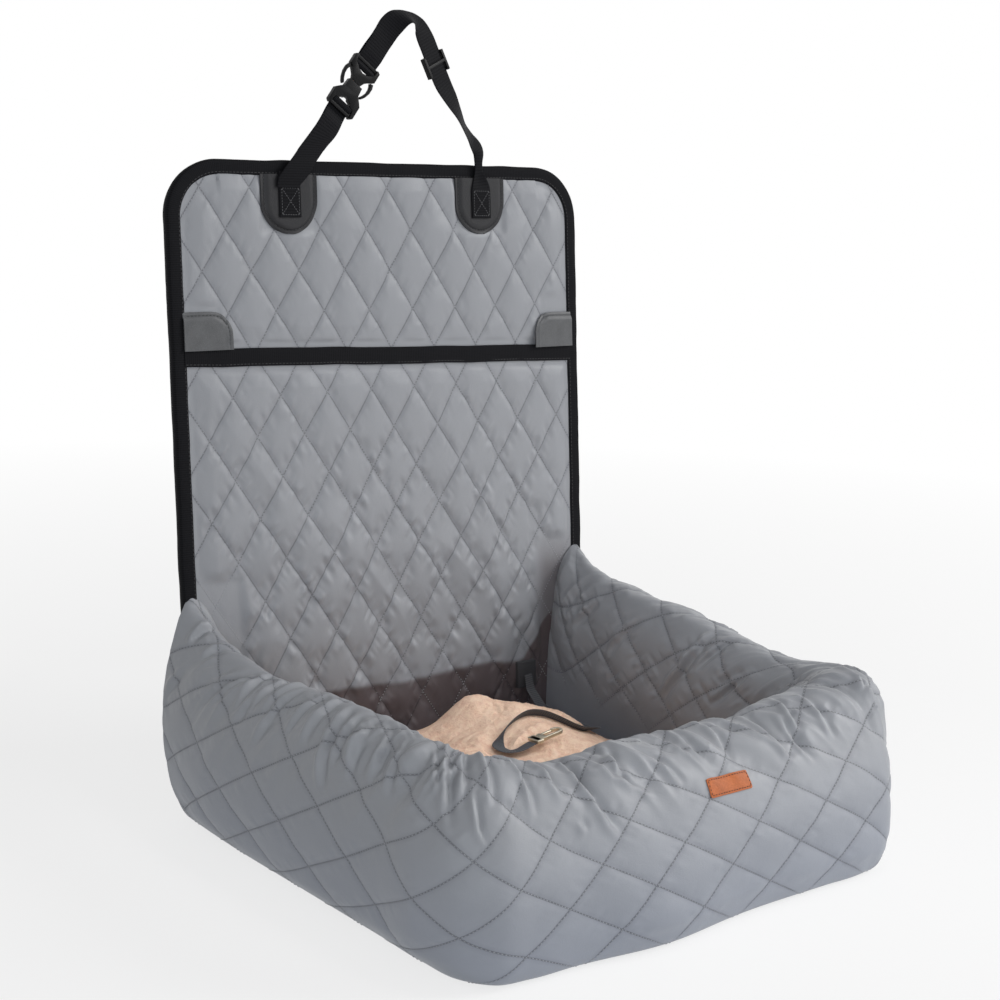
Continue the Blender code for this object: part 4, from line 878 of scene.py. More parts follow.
    @staticmethod
    def ribbon(name: str, finish: Finish, centres: Array, across: Array, widths: Value, thick: Value,
               bow: Value = 0.0, sheared: bool = False, steps: int = 24, edge: float = 0.45) -> Thing:
        """A ribbon of webbing through points.

        Args:
            name: Name of the piece.
            finish: Its finish.
            centres: Points of its middle.
            across: Its direction across, at each point or everywhere.
            widths: Its width, at each point or everywhere.
            thick: Its thickness, at each point or everywhere.
            bow: How far its middle stands out of its edges, at each point or everywhere.
            sheared: Whether its rows keep their slant.
            steps: Points round a row.
            edge: Roundness of its edges.

        Returns:
            The ribbon with its UV map.
        """
        widths, thick, bow = (np.broadcast_to(part, len(centres)) for part in (widths, thick, bow))
        tangent = unit(np.gradient(centres, axis=0))
        square = unit(across - tangent * np.sum(across * tangent, axis=1, keepdims=True))
        out = np.cross(tangent, square)
        across = across if sheared else square
        angle = round_angles(steps)
        side, up = squared(np.cos(angle), 0.6), squared(np.sin(angle), edge)
        rings = (centres[:, None] + across[:, None] * (side * widths[:, None] / 2)[..., None]
                 + out[:, None] * (up * thick[:, None] / 2 + bow[:, None] * (1 - side ** 2))[..., None])
        return Bench.finish(Bench.skin(name, rings), finish, Slot.WEBBING, 60.0)


# Length, pitch and half width of each kind of stitch, in metres
QUILTING = (0.0019, 0.0034, 0.00044)
BOLSTER_QUILTING = (0.0020, 0.0036, 0.00042)
TAPE_EDGING = (0.0028, 0.0040, 0.00028)
FLAP_EDGING = (0.0026, 0.0038, 0.0003)
LABEL_EDGING = (0.0020, 0.0030, 0.00040)
BOX_SEWING = (0.0022, 0.0027, 0.00042)


class Needle:
    """A run of stitches, each one a copy of one small rounded thread."""

    def __init__(self, name: str, length: float, pitch: float, radius: float) -> None:
        """Model one stitch.

        Args:
            name: Name of the piece that the stitches make.
            length: Length of a stitch.
            pitch: Distance from one stitch to the next.
            radius: Half the thread's width.
        """
        self.name, self.length, self.pitch, self.radius = name, length, pitch, radius
        Bench.clear()
        bpy.ops.mesh.primitive_cylinder_add(vertices=5, radius=1.0, depth=2.0, end_fill_type="TRIFAN")
        model = bpy.context.object
        points = Bench.points(model)
        ends = np.linalg.norm(points[:, :2], axis=1) < 0.5
        points[~ends, 2] *= 0.62
        self.points = points
        self.faces = [tuple(face.vertices) for face in model.data.polygons]
        bpy.data.objects.remove(model)
        self.rows: list[Array] = []

    def sew(self, line: Array, normals: Array, proud: float = 0.0001) -> None:
        """Lay stitches along a line on a surface.

        Args:
            line: Points of the line.
            normals: The surface's direction outwards, at each point or everywhere.
            proud: How far the thread stands out.
        """
        normals = np.broadcast_to(normals, line.shape)
        lengths = arc_lengths(line)
        if lengths[-1] < self.pitch:
            return
        count = int(lengths[-1] / self.pitch)
        middle = (np.arange(count) + 0.5) * lengths[-1] / count

        def at(places: Array, values: Array) -> Array:
            """The values at places along the line."""
            return np.stack([np.interp(places, lengths, values[:, k]) for k in range(3)], axis=1)
        start, end = at(middle - self.length / 2, line), at(middle + self.length / 2, line)
        up = unit(at(middle, normals))
        along = unit(end - start)
        side = unit(np.cross(up, along))
        up = np.cross(along, side)
        half = np.linalg.norm(end - start, axis=1) / 2
        centre = (start + end) / 2 + up * proud
        wide, tall, long = self.points[:, :1], self.points[:, 1:2], self.points[:, 2:]
        for k in range(count):
            self.rows.append(centre[k] + side[k] * wide * self.radius + up[k] * tall * self.radius * 0.7
                             + along[k] * long * half[k])

    def knot(self, finish: Finish, slot: Slot) -> Thing:
        """Join the stitches into one piece.

        Args:
            finish: The thread's finish.
            slot: The finish's name in the record.

        Returns:
            The stitches as one piece.
        """
        count = len(self.points)
        faces = [tuple(i + k * count for i in face) for k in range(len(self.rows)) for face in self.faces]
        mesh = bpy.data.meshes.new(self.name)
        mesh.from_pydata(np.concatenate(self.rows).tolist(), [], faces)
        piece = bpy.data.objects.new(self.name, mesh)
        bpy.context.scene.collection.objects.link(piece)
        return Bench.finish(piece, finish, slot, 80.0)


# The back panel


# The edge tape's section, from its edge in front to its edge behind: inwards from the panel's edge, and out
TAPE_SECTION = ((0.0152, 0.0007), (0.0144, 0.0019), (0.0105, 0.0025), (0.0055, 0.0025), (0.0018, 0.0018),
                (0.0002, -0.0006), (0.0002, -0.0034), (0.0010, -0.0068), (0.0022, -0.0098),
                (0.0046, -0.0121), (0.0085, -0.0129), (0.0140, -0.0126), (0.0151, -0.0114))


@dataclass
class BackPanel:
    """The quilted back panel with its pocket, bindings, tabs and strap patches."""

    width: float = 0.510
    height: float = 0.6442
    foot: float = 0.0042
    corner: float = 0.057
    lean: float = math.radians(5.7)
    depth: float = 0.2315
    fold: float = 0.2332
    tape: float = 0.0150
    mouth: float = 0.4475
    mouth_width: float = 0.0180
    mouth_tilt: float = -0.0283
    quilt_half_width: float = 0.0275
    quilt_half_height: float = 0.0411
    quilt_node: tuple[float, float] = (0.001, 0.5357)
    padding: float = 0.0041
    patch_offset: float = 0.1192
    patch_radius: float = 0.0325
    patch_foot: float = 0.5715
    tab_width: float = 0.050
    tab_height: float = 0.0385
    tab_radius: float = 0.022
    sheet_inset: float = 0.0035
    lining_inset: float = 0.0036
    flap_gap: float = 0.0015
    flap_hem: float = 0.0036
    tab_crest: float = 0.0052
    patch_crest: float = 0.0054

    def place(self, u: Value, v: Value, n: Value) -> Array:
        """World points from places across, up and out of the panel's front.

        Args:
            u: Places across the panel.
            v: Places up the panel.
            n: Heights over its face.

        Returns:
            One point for each place.
        """
        sine, cosine = math.sin(self.lean), math.cos(self.lean)
        u, v, n = np.broadcast_arrays(np.asarray(u, float), np.asarray(v, float), np.asarray(n, float))
        return np.stack([u, self.depth + v * sine - n * cosine, v * cosine + n * sine], axis=-1)

    def outward(self) -> Array:
        """The direction out of the panel's front."""
        return np.array([0.0, -math.cos(self.lean), math.sin(self.lean)])

    def tilt(self, u: Value) -> Value:
        """How far the pocket's mouth hangs from its middle height."""
        return self.mouth_tilt * u - 0.0012

    @staticmethod
    def drift(u: Array, v: Array) -> Array:
        """How far a seam strays from its straight line."""
        return 0.0012 * grain(u * 14.0, v * 14.0, 2.0)

    def phases(self, u: Array, v: Array) -> tuple[Array, Array]:
        """Seam phases of the diamonds.

        Args:
            u: Places across the panel.
            v: Places up the panel.

        Returns:
            Both families' phases.
        """
        drift = self.drift(u, v)
        s = (u + drift - self.quilt_node[0]) / self.quilt_half_width
        t = (v - drift - self.quilt_node[1]) / self.quilt_half_height
        return (s + t) / 2, (s - t) / 2

    def cloth(self, u: Array, v: Array, low: Value = -1.0, high: Value = 1.0) -> Array:
        """Height of the quilted cloth.

        Args:
            u: Places across the panel.
            v: Places up the panel.
            low: Lower edge of the cloth at each place.
            high: Upper edge of the cloth at each place.

        Returns:
            The height over the panel's face.
        """
        half = self.width / 2 - self.tape
        first, second = self.phases(u, v)
        slack = ease(v, 0.52, 0.16)
        pucker = 0.0010 + 0.0019 * slack
        height = relief(first, second, self.padding, pucker, 6.5, 3.0)
        height += (0.0008 + 0.0014 * slack) * grain(u * 16.0 + v * 5.0, v * 9.0, 5.0)
        height += (0.0003 + 0.0009 * slack) * grain(u * 38.0 - v * 16.0, v * 24.0 + u * 20.0, 8.0)
        crossing = 1.0 - 2.0 * np.abs(grain(u * 26.0 + v * 20.0, v * 9.0 - u * 6.0, 9.0))
        height += (0.0002 + 0.0008 * slack) * crossing
        near = np.minimum(np.minimum(half - np.abs(u), v - low), high - v)
        from_u, from_v = np.abs(u) - self.width / 2 + self.corner, v - self.height + self.corner
        in_corner = (from_u > 0) & (from_v > 0)
        near_round = np.where(in_corner, self.corner - self.tape - np.hypot(from_u, from_v), near)
        near = np.clip(np.minimum(near, near_round), 0.0, None)
        cover = np.sqrt(np.clip((near - 0.0060) / 0.016, 0.0, 1.0))
        held = self.held(u, v)
        under = ease(self.patch_radius + 0.004 - np.abs(np.abs(u) - self.patch_offset), 0.0, 0.007) * ease(
            v, self.patch_foot - 0.004, self.patch_foot + 0.006)
        tab = ease(np.abs(u), half - self.tab_width + 0.006, half - self.tab_width + 0.014) * ease(
            v, self.mouth + 0.002, self.mouth + 0.006) * ease(v, self.mouth + 0.062, self.mouth + 0.052)
        pressed = (1.0 - 0.85 * held) * (1.0 - 0.75 * np.maximum(under, tab))
        return 0.0007 + np.clip(height, -0.0003, None) * cover * pressed

    @staticmethod
    def held(u: Array, v: Array) -> Array:
        """Where the bolsters' ends hold the cloth flat, from 0 to 1."""
        return ease(np.abs(u), 0.182, 0.194) * ease(v, 0.243, 0.228)

    @staticmethod
    def shaded(u: Array, v: Array) -> Array:
        """The deep shade at the panel's foot and beside the right bolster, from 0 to 1.

        Args:
            u: Places across the panel.
            v: Places up the panel.

        Returns:
            The shade at each place.
        """
        edge = 0.1010 + 0.0035 * grain(u * 26.0, np.zeros_like(u), 12.0) + 0.050 * ease(u, 0.155, 0.215)
        foot = ease(v, edge + 0.0035, edge - 0.0035)
        return np.maximum(0.96 * foot, 0.60 * ease(u, 0.180, 0.204) * ease(v, 0.250, 0.190))

    def rounded(self, u: Array, v: Array, inset: float) -> tuple[Array, Array]:
        """Places inside the panel's rounded upper corners, by an inset."""
        inner_u, inner_v = self.width / 2 - self.corner, self.height - self.corner
        return round_corners(u, v, inner_u, inner_v, self.corner - inset)

    def sheet(self, name: str, low: Edge, high: Edge, rows: int, free_foot: bool) -> Thing:
        """Quilted cloth between two edges that run across the panel.

        Args:
            name: Name of the piece.
            low: Lower edge at each place across.
            high: Upper edge at each place across.
            rows: Faces up the cloth.
            free_foot: Whether its puffs run on over its lower edge.

        Returns:
            The cloth, thickened.
        """
        half = self.width / 2 - self.sheet_inset
        piece, p, q = Bench.grid(name, 250, rows)
        u = (2.0 * p - 1.0) * half
        v = low(u) + (high(u) - low(u)) * q
        u, v = self.rounded(u, v, self.sheet_inset)
        edge_low = -1.0 if free_foot else low(u) + 0.004
        Bench.reshape(piece, self.place(u, v, self.cloth(u, v, edge_low, high(u) - 0.004)))
        Bench.unwrap(piece, u, v)
        Bench.mark(piece, "seams", np.stack([*self.phases(u, v), 1.0 - self.held(u, v)], axis=1))
        Bench.mark(piece, "shade", self.shaded(u, v))
        Bench.thicken(piece, 0.0009)
        return Bench.finish(piece, COVER, Slot.CLOTH)

    def seams(self, needle: Needle, low: Edge, high: Edge) -> None:
        """Sew the diamonds' seams between two edges.

        Args:
            needle: Where the stitches go.
            low: Lower edge of the cloth.
            high: Upper edge of the cloth.
        """
        half = self.width / 2 - self.tape - 0.001
        rise = self.quilt_half_height / self.quilt_half_width
        for slope in (rise, -rise):
            for step in range(-40, 41):
                u = np.linspace(-half, half, 400)
                v = self.quilt_node[1] + slope * (u - self.quilt_node[0]) + step * 2 * self.quilt_half_height
                keep = (v > low(u) + 0.001) & (v < high(u) - 0.001)
                if keep.sum() < 4:
                    continue
                u, v = u[keep], v[keep]
                drift = self.drift(u, v)
                u, v = u - drift, v + drift
                edge_low = -1.0 if v.mean() < self.mouth else low(u)
                needle.sew(self.place(u, v, self.cloth(u, v, edge_low, high(u))), self.outward(), 0.00022)

    def bend(self, piece: Thing, reach: float = 0.017) -> Thing:
        """Bake a piece's place into its mesh and hand it back; it is not bent, and the fold's ends over the
        reach go unused.
        """
        start, end = self.place(0.0, self.fold - reach, 0.0), self.place(0.0, self.fold + reach, 0.0)
        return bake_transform(piece)

    def make_cloths(self) -> None:
        """Make the upper cloth, the pocket's cloth and their stitches."""
        lap = 0.004

        def level(height: float) -> Edge:
            """A straight edge."""
            return lambda u: np.full_like(u, height)

        def over_mouth(u: Array) -> Array:
            """The upper cloth's foot."""
            return self.mouth + self.tilt(u) + self.mouth_width / 2 - lap

        def under_mouth(u: Array) -> Array:
            """The pocket cloth's top."""
            return self.mouth + self.tilt(u) - self.mouth_width / 2 + lap
        foot, top = level(0.012), level(self.height - self.sheet_inset)
        upper = self.sheet("upper_quilted_cloth", over_mouth, top, 100, False)
        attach(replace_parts(upper, "upper_facing"), Body.BACK.value)
        lower = self.sheet("pocket_quilted_cloth", foot, under_mouth, 220, True)
        self.bend(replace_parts(lower, "pocket_front", "lower_facing"))
        needle = Needle("upper_cloth_stitching", *QUILTING)
        self.seams(needle, over_mouth, level(self.height - self.tape))
        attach(needle.knot(THREAD, Slot.CLOTH), Body.BACK.value)
        needle = Needle("pocket_cloth_stitching", *QUILTING)
        self.seams(needle, foot, lambda u: under_mouth(u) - lap)
        self.bend(needle.knot(THREAD, Slot.CLOTH))

    def outline(self) -> tuple[Array, Array]:
        """The panel's edge from its lower left round to its lower right, and the direction inwards.

        Returns:
            Places on the edge, and a direction for each.
        """
        half, inner = self.width / 2, self.height - self.corner
        points, inward = [], []
        for v in np.arange(self.foot, inner, 0.0035):
            points.append((-half, v))
            inward.append((1.0, 0.0))
        for angle in np.linspace(math.pi, math.pi / 2, 30):
            points.append((-half + self.corner + self.corner * math.cos(angle),
                           inner + self.corner * math.sin(angle)))
            inward.append((-math.cos(angle), -math.sin(angle)))
        for u in np.linspace(-half + self.corner, 0.0, 56)[1:]:
            points.append((u, self.height))
            inward.append((0.0, -1.0))
        left, turned = np.array(points), np.array(inward)
        mirror = np.array([-1.0, 1.0])
        return (np.concatenate([left, left[-2::-1] * mirror]),
                np.concatenate([turned, turned[-2::-1] * mirror]))

    def make_edge(self) -> None:
        """Make the binding round the panel's edge, folded over both faces, with a line of stitches."""
        base, inward = self.outline()
        section = resample(np.array(TAPE_SECTION), 26)
        piece, p, q = Bench.grid("edge_binding_tape", len(base) - 1, len(section) - 1)
        row, step = np.rint(p * (len(base) - 1)).astype(int), np.rint(q * (len(section) - 1)).astype(int)
        along = arc_lengths(base)
        inset = section[step, 0] + 0.0005 * grain(along[row] * 40.0, section[step, 0] * 30.0, 1.0)
        flat = base[row] + inward[row] * inset[:, None]
        depth = section[step, 1] + 0.0002 * grain(along[row] * 120.0, step * 0.2, 6.0)
        Bench.reshape(piece, self.place(flat[:, 0], flat[:, 1], depth))
        Bench.unwrap(piece, along[row], section[step, 0] - section[step, 1])
        Bench.thicken(piece, 0.0008)
        Bench.finish(piece, BINDING, Slot.BINDING)
        self.bend(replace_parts(piece, "edge_binding", "lower_binding_left", "lower_binding_right"))
        needle = Needle("edge_binding_stitching", *TAPE_EDGING)
        line = base + inward * 0.0128
        needle.sew(self.place(line[:, 0], line[:, 1], 0.0024), self.outward())
        self.bend(needle.knot(DARK_THREAD, Slot.BINDING))

    def make_mouth(self) -> None:
        """Make the binding along the pocket's mouth."""
        half = self.width / 2 - 0.0125
        u = np.linspace(-half, half, 180)
        middle = self.mouth + self.tilt(u) + 0.0005 * grain(u * 30.0, np.zeros_like(u), 3.0)
        angle = round_angles(28)
        across = squared(np.cos(angle), 0.35) * self.mouth_width / 2
        out = squared(np.sin(angle), 0.5) * 0.0011
        puff = 0.0004 * grain(u * 70.0, np.zeros_like(u), 4.0)
        rings = self.place(u[:, None], middle[:, None] + across, 0.0021 + out + puff[:, None])
        piece = Bench.skin("pocket_mouth_tape", rings)
        Bench.finish(piece, BINDING, Slot.BINDING)
        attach(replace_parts(piece, "pocket_binding"), Body.BACK.value)
        needle = Needle("pocket_mouth_stitching", *TAPE_EDGING)
        needle.sew(self.place(u, middle - self.mouth_width / 2 + 0.0022, 0.0031), self.outward())
        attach(needle.knot(DARK_THREAD, Slot.BINDING), Body.BACK.value)

    def raised(self, u: Array, v: Array, edge: Array, crest: float) -> Array:
        """Height of a flap over the quilting, from the distance to its free edge."""
        rest = self.cloth(u, v) + self.flap_gap
        return rest + (crest - rest) * ease(edge, 0.0, 0.009)

    def flap(self, name: str, shape: Callable[[Array, Array], tuple[Array, Array, Array]], crest: float,
             node: str, finish: Finish) -> None:
        """Make a leatherette flap over the quilting, with a pressed line and stitches near its edge.

        Args:
            name: Name of the piece.
            shape: Gives the places and the distance to the free edge from shares of the grid.
            crest: Height of the flap's middle over the panel's face.
            node: The node that it stands for.
            finish: Its leatherette.
        """
        piece, p, q = Bench.grid(name, 56, 56)
        u, v, edge = shape(p, q)
        height = self.raised(u, v, edge, crest)
        height -= 0.0005 * np.exp(-((edge - self.flap_hem) / 0.0007) ** 2)
        height += 0.0003 * np.exp(-((edge - 0.0018) / 0.0010) ** 2)
        Bench.reshape(piece, self.place(u, v, height))
        Bench.thicken(piece, 0.0012)
        Bench.weld(piece, 1e-5)
        Bench.finish(piece, finish, Slot.LEATHER)
        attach(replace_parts(piece, node), Body.BACK.value)

    def hem(self, name: str, u: Array, v: Array, crest: float, count: int) -> None:
        """Sew along a flap's edge, a little inside it.

        Args:
            name: Name of the stitches.
            u: Places across the panel.
            v: Places up the panel.
            crest: Height of the flap's middle over the panel's face.
            count: Points along the line.
        """
        needle = Needle(name, *FLAP_EDGING)
        u, v = resample(np.column_stack([u, v]), count).T
        height = self.raised(u, v, np.full_like(u, self.flap_hem), crest)
        needle.sew(self.place(u, v, height), self.outward(), 0.0)
        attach(needle.knot(DARK_THREAD, Slot.LEATHER), Body.BACK.value)

    def make_tabs(self) -> None:
        """Make the two quarter-round tabs over the pocket's mouth."""
        edge_u = self.width / 2 - self.tape + 0.003
        for side, label in ((-1.0, "left"), (1.0, "right")):
            foot = self.mouth + self.mouth_width / 2 - 0.002 + self.tilt(side * 0.22)
            wide, high, radius = self.tab_width + 0.003, self.tab_height - 0.001, self.tab_radius

            def shape(p: Array, q: Array) -> tuple[Array, Array, Array]:
                """A rectangle with its upper inner corner rounded.

                Args:
                    p: Share across the grid.
                    q: Share up the grid.

                Returns:
                    Places across and up the panel, and the distance to the free edge.
                """
                v = q * high
                drop = np.clip(v - (high - radius), 0.0, radius)
                reach = wide - radius + np.sqrt(np.clip(radius ** 2 - drop ** 2, 0.0, None))
                across = p * reach
                from_u, from_v = across - (wide - radius), v - (high - radius)
                corner = radius - np.hypot(from_u, from_v)
                edge = np.where((from_u > 0) & (from_v > 0), corner, np.minimum(wide - across, high - v))
                return side * (edge_u - across), foot + v, edge
            self.flap("corner_tab_" + label, shape, self.tab_crest, "pocket_tab_" + label, TAB)
            inset, angle = self.flap_hem, np.linspace(math.pi / 2, 0.0, 20)
            ring = radius - inset
            across = np.concatenate([[0.004], wide - radius + ring * np.cos(angle), [wide - inset]])
            up = np.concatenate([[high - inset], high - radius + ring * np.sin(angle), [0.004]])
            self.hem("corner_tab_stitching_" + label, side * (edge_u - across), foot + up, self.tab_crest, 90)

    def make_patches(self) -> None:
        """Make the two U-shaped patches under the strap's ends."""
        top = self.height - self.tape + 0.0012
        for side, label in ((-1.0, "left"), (1.0, "right")):
            radius, foot = self.patch_radius, self.patch_foot

            def shape(p: Array, q: Array) -> tuple[Array, Array, Array]:
                """A strip with a round foot.

                Args:
                    p: Share across the grid.
                    q: Share up the grid.

                Returns:
                    Places across and up the panel, and the distance to the free edge.
                """
                q = q * q * 0.35 + q * 0.65
                v = foot + 0.0003 + q * (top - foot - 0.0003)
                drop = np.clip(foot + radius - v, 0.0, radius)
                half = np.sqrt(np.clip(radius ** 2 - drop ** 2, 0.0, None))
                across = (2 * p - 1) * half
                round_edge = radius - np.hypot(across, drop)
                edge = np.where(drop > 0, round_edge, radius - np.abs(across))
                return side * self.patch_offset + across, v, edge
            self.flap("strap_end_patch_" + label, shape, self.patch_crest, "strap_patch_" + label, LEATHER)
            angle = np.linspace(math.pi, 2 * math.pi, 60)
            ring = radius - self.flap_hem
            u = side * self.patch_offset + np.concatenate([[-ring], ring * np.cos(angle), [ring]])
            v = np.concatenate([[top - 0.002], foot + radius + ring * np.sin(angle), [top - 0.002]])
            self.hem("strap_end_patch_stitching_" + label, u, v, self.patch_crest, 130)

    def make_back(self) -> None:
        """Make the lining behind the panel and the pad between the cloths."""
        for name, front, back, finish, slot, nodes in (
                ("panel_back_lining", -0.0083, -0.0106, LINING, Slot.LINING,
                 ("panel_backing", "lower_backing")),
                ("panel_inner_pad", -0.0034, -0.0078, FOAM, Slot.FOAM, ("panel_foam", "lower_foam"))):
            piece, p, q = Bench.grid(name, 60, 90)
            low, high = self.foot + 0.001, self.height - self.lining_inset
            u = (2 * p - 1) * (self.width / 2 - self.lining_inset)
            u, v = self.rounded(u, low + (high - low) * q, self.lining_inset)
            Bench.reshape(piece, self.place(u, v, front))
            Bench.thicken(piece, front - back)
            Bench.finish(piece, finish, slot)
            self.bend(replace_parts(piece, *nodes))

    def build(self) -> None:
        """Build the whole panel."""
        self.make_cloths()
        self.make_edge()
        self.make_mouth()
        self.make_tabs()
        self.make_patches()
        self.make_back()


# The headrest strap


@dataclass
class HeadrestStrap:
    """The headrest strap: two legs of webbing, a side-release buckle and a tri-glide."""

    panel: BackPanel
    width: float = 0.025
    thickness: float = 0.0013
    middle: float = 0.00645
    leg_foot: tuple[float, float] = (-0.0979, 0.64465)
    leg_angle: float = math.radians(52.5)
    buckle_start: float = 0.0635
    buckle_length: float = 0.0610
    inner_bar: float = 0.0072
    apex_rise: float = 0.0550
    apex_spread: float = 0.1380
    right_foot: float = 0.1165
    sew_foot: float = 0.5880
    sew_shift: float = 0.0006
    gathered: float = 0.60

    def along_leg(self, reach: Value, n: Value) -> Array:
        """Points along the left leg's line, out of the strap's plane.

        Args:
            reach: Distance from the leg's foot.
            n: Height over the strap's middle.

        Returns:
            One point for each distance.
        """
        u = self.leg_foot[0] + reach * math.cos(self.leg_angle)
        v = self.leg_foot[1] + reach * math.sin(self.leg_angle)
        return self.panel.place(u, v, self.middle + n)

    def directions(self) -> tuple[Array, Array]:
        """The left leg's direction and the one across it.

        Returns:
            Both directions.
        """
        origin = self.panel.place(0.0, 0.0, 0.0)
        cosine, sine = math.cos(self.leg_angle), math.sin(self.leg_angle)
        return self.panel.place(cosine, sine, 0.0) - origin, self.panel.place(-sine, cosine, 0.0) - origin

    def make_left(self) -> None:
        """Make the left leg, turned round the female half's bar, and its sewn end."""
        bar = self.buckle_start + self.inner_bar
        reach = np.array([0.042, 0.050, bar - 0.012, bar - 0.0062, bar - 0.0030, bar, bar + 0.0021,
                          bar + 0.0029, bar + 0.0021, bar, bar - 0.004, bar - 0.010, bar - 0.024,
                          bar - 0.038])
        depth = np.array([0.0, -0.0004, -0.0021, -0.0026, 0.0004, 0.0023, 0.0018, 0.0, -0.0018,
                          -0.0025, -0.0040, -0.0042, -0.0020, -0.0016])
        foot = np.array([(-0.1222, 0.6170, 0.0012, 0.0250), (-0.1215, 0.6195, 0.0014, 0.0262),
                         (-0.1196, 0.6230, 0.0018, 0.0295), (-0.1168, 0.6275, 0.0021, 0.0330),
                         (-0.1116, 0.6340, 0.0022, 0.0325), (-0.1060, 0.6410, 0.0018, 0.0312),
                         (-0.0998, 0.6478, 0.0010, 0.0308), (-0.0944, 0.6540, 0.0006, 0.0308)])
        turned = self.panel.place(foot[:, 0], foot[:, 1], self.middle + foot[:, 2])
        points = np.concatenate([turned, self.along_leg(reach, depth)])
        places = arc_lengths(points)
        span = np.linspace(0.0, places[-1], 190)
        line = hermite(points, places, span)
        turn = ease(span, places[7], places[9])
        level = np.array([1.0, 0.0, 0.0])
        across = unit(level + turn[:, None] * (-self.directions()[1] - level))
        slant = np.maximum(across @ -self.directions()[1], 0.5)
        width = np.where(span < places[7], np.interp(span, places[:8], foot[:, 3]), self.width / slant)
        narrow = ease(span, places[8], places[10])
        piece = Bench.ribbon("strap_left_leg", WEBBING, line, across, width * (1.0 - 0.05 * narrow),
                             self.thickness, sheared=True)
        low, high = self.panel.place(0.0, 0.636, 0.0), self.panel.place(0.0, 0.648, 0.0)
        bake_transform(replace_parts(piece, "strap_left"))
        v = np.linspace(self.sew_foot, 0.6330, 40)
        middle = self.middle + 0.0001 * np.sin(v * 300.0)
        tail = self.panel.place(-self.panel.patch_offset - self.sew_shift, v, middle)
        piece = Bench.ribbon("strap_left_end", WEBBING, tail, level, self.width, self.thickness)
        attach(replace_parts(piece, "strap_tail_left"), Body.BACK.value)

    def route(self) -> tuple[Array, Array]:
        """Middle line of the strap from the male half over the apex to the right patch, and its twist.

        Returns:
            Places across and up the panel, and the twist at each in degrees.
        """
        shares = np.array([(0.137, 0.450), (0.225, 0.720), (0.310, 0.872), (0.372, 0.905), (0.430, 0.865),
                           (0.475, 0.770), (0.522, 0.565), (0.617, 0.059), (0.680, -0.277), (0.765, -0.598),
                           (0.829, -0.855), (0.880, -1.100), (0.946, -1.340), (1.004, -1.560),
                           (1.004, -1.700)])
        twist = np.array([0.0, 0.0, 18.0, 42.0, 58.0, 46.0, 24.0, 9.0, 9.0, 9.0, 22.0, 38.0, 46.0, 38.0, 12.0,
                          0.0, 0.0])
        reach = self.buckle_start + self.buckle_length
        base = np.array([self.leg_foot[0] + reach * math.cos(self.leg_angle),
                         self.leg_foot[1] + reach * math.sin(self.leg_angle)])
        points = base + shares * np.array([self.apex_spread, self.apex_rise])
        points[-1] = (self.right_foot, self.leg_foot[1] + 0.003)
        first = base + np.array([math.cos(self.leg_angle), math.sin(self.leg_angle)]) * 0.0105
        points = np.concatenate([[first], points, [(self.right_foot, self.leg_foot[1] - 0.0012)]])
        return points, twist

    def make_right(self) -> None:
        """Make the strap from the male half over the apex down to the right patch, and its sewn end."""
        points, twist = self.route()
        lengths = arc_lengths(points)
        places = np.linspace(0.0, lengths[-1], 220)
        flat = hermite(points, lengths, places)
        turn = np.radians(np.interp(places, lengths, twist))
        turn = np.convolve(np.pad(turn, 6, mode="edge"), np.ones(13) / 13, mode="valid")
        direction = unit(np.gradient(flat, axis=0))
        outward = np.stack([-direction[:, 1], direction[:, 0]], axis=1)
        origin = self.panel.place(0.0, 0.0, 0.0)
        outward *= np.cos(turn)[:, None]
        flat_across = self.panel.place(outward[:, 0], outward[:, 1], -np.sin(turn)) - origin
        line = self.panel.place(flat[:, 0], flat[:, 1], self.middle)
        middle = self.buckle_start + self.buckle_length - self.inner_bar
        reach = np.array([0.046, 0.034, 0.020, 0.010, 0.004, 0.0, -0.0021, -0.0029, -0.0021, 0.0, 0.0030,
                          0.0062])
        depth = np.array([-0.0014, -0.0016, -0.0042, -0.0042, -0.0040, -0.0025, -0.0018, 0.0, 0.0018, 0.0023,
                          0.0004, -0.0026])
        loop = resample(self.along_leg(middle + reach, depth), 90)
        side = self.directions()[1]
        line = np.concatenate([loop, line])
        across = np.concatenate([np.tile(side, (len(loop), 1)), flat_across])
        foot = ease(places, lengths[-1] - 0.030, lengths[-1])
        foot = np.concatenate([np.zeros(len(loop)), foot])
        piece = Bench.ribbon("strap_right_leg", WEBBING, line, across,
                             self.width * (1.0 - self.gathered * foot),
                             self.thickness * (1.0 + self.gathered * foot), 0.0016 * foot * (1 - foot) * 4)
        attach(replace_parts(piece, "strap_right"), Body.SIDE.value)
        v = np.linspace(self.sew_foot, self.leg_foot[1] + 0.0014, 60)
        gather = ease(v, 0.616, 0.641)
        u = self.panel.patch_offset + (self.right_foot - self.panel.patch_offset) * gather
        tail = self.panel.place(u, v, self.middle)
        piece = Bench.ribbon("strap_right_end", WEBBING, tail, np.array([1.0, 0.0, 0.0]),
                             self.width * (1.0 - self.gathered * gather),
                             self.thickness * (1.0 + self.gathered * gather),
                             0.0018 * gather * (1 - gather) * 4)
        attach(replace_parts(piece, "strap_tail_right"), Body.BACK.value)

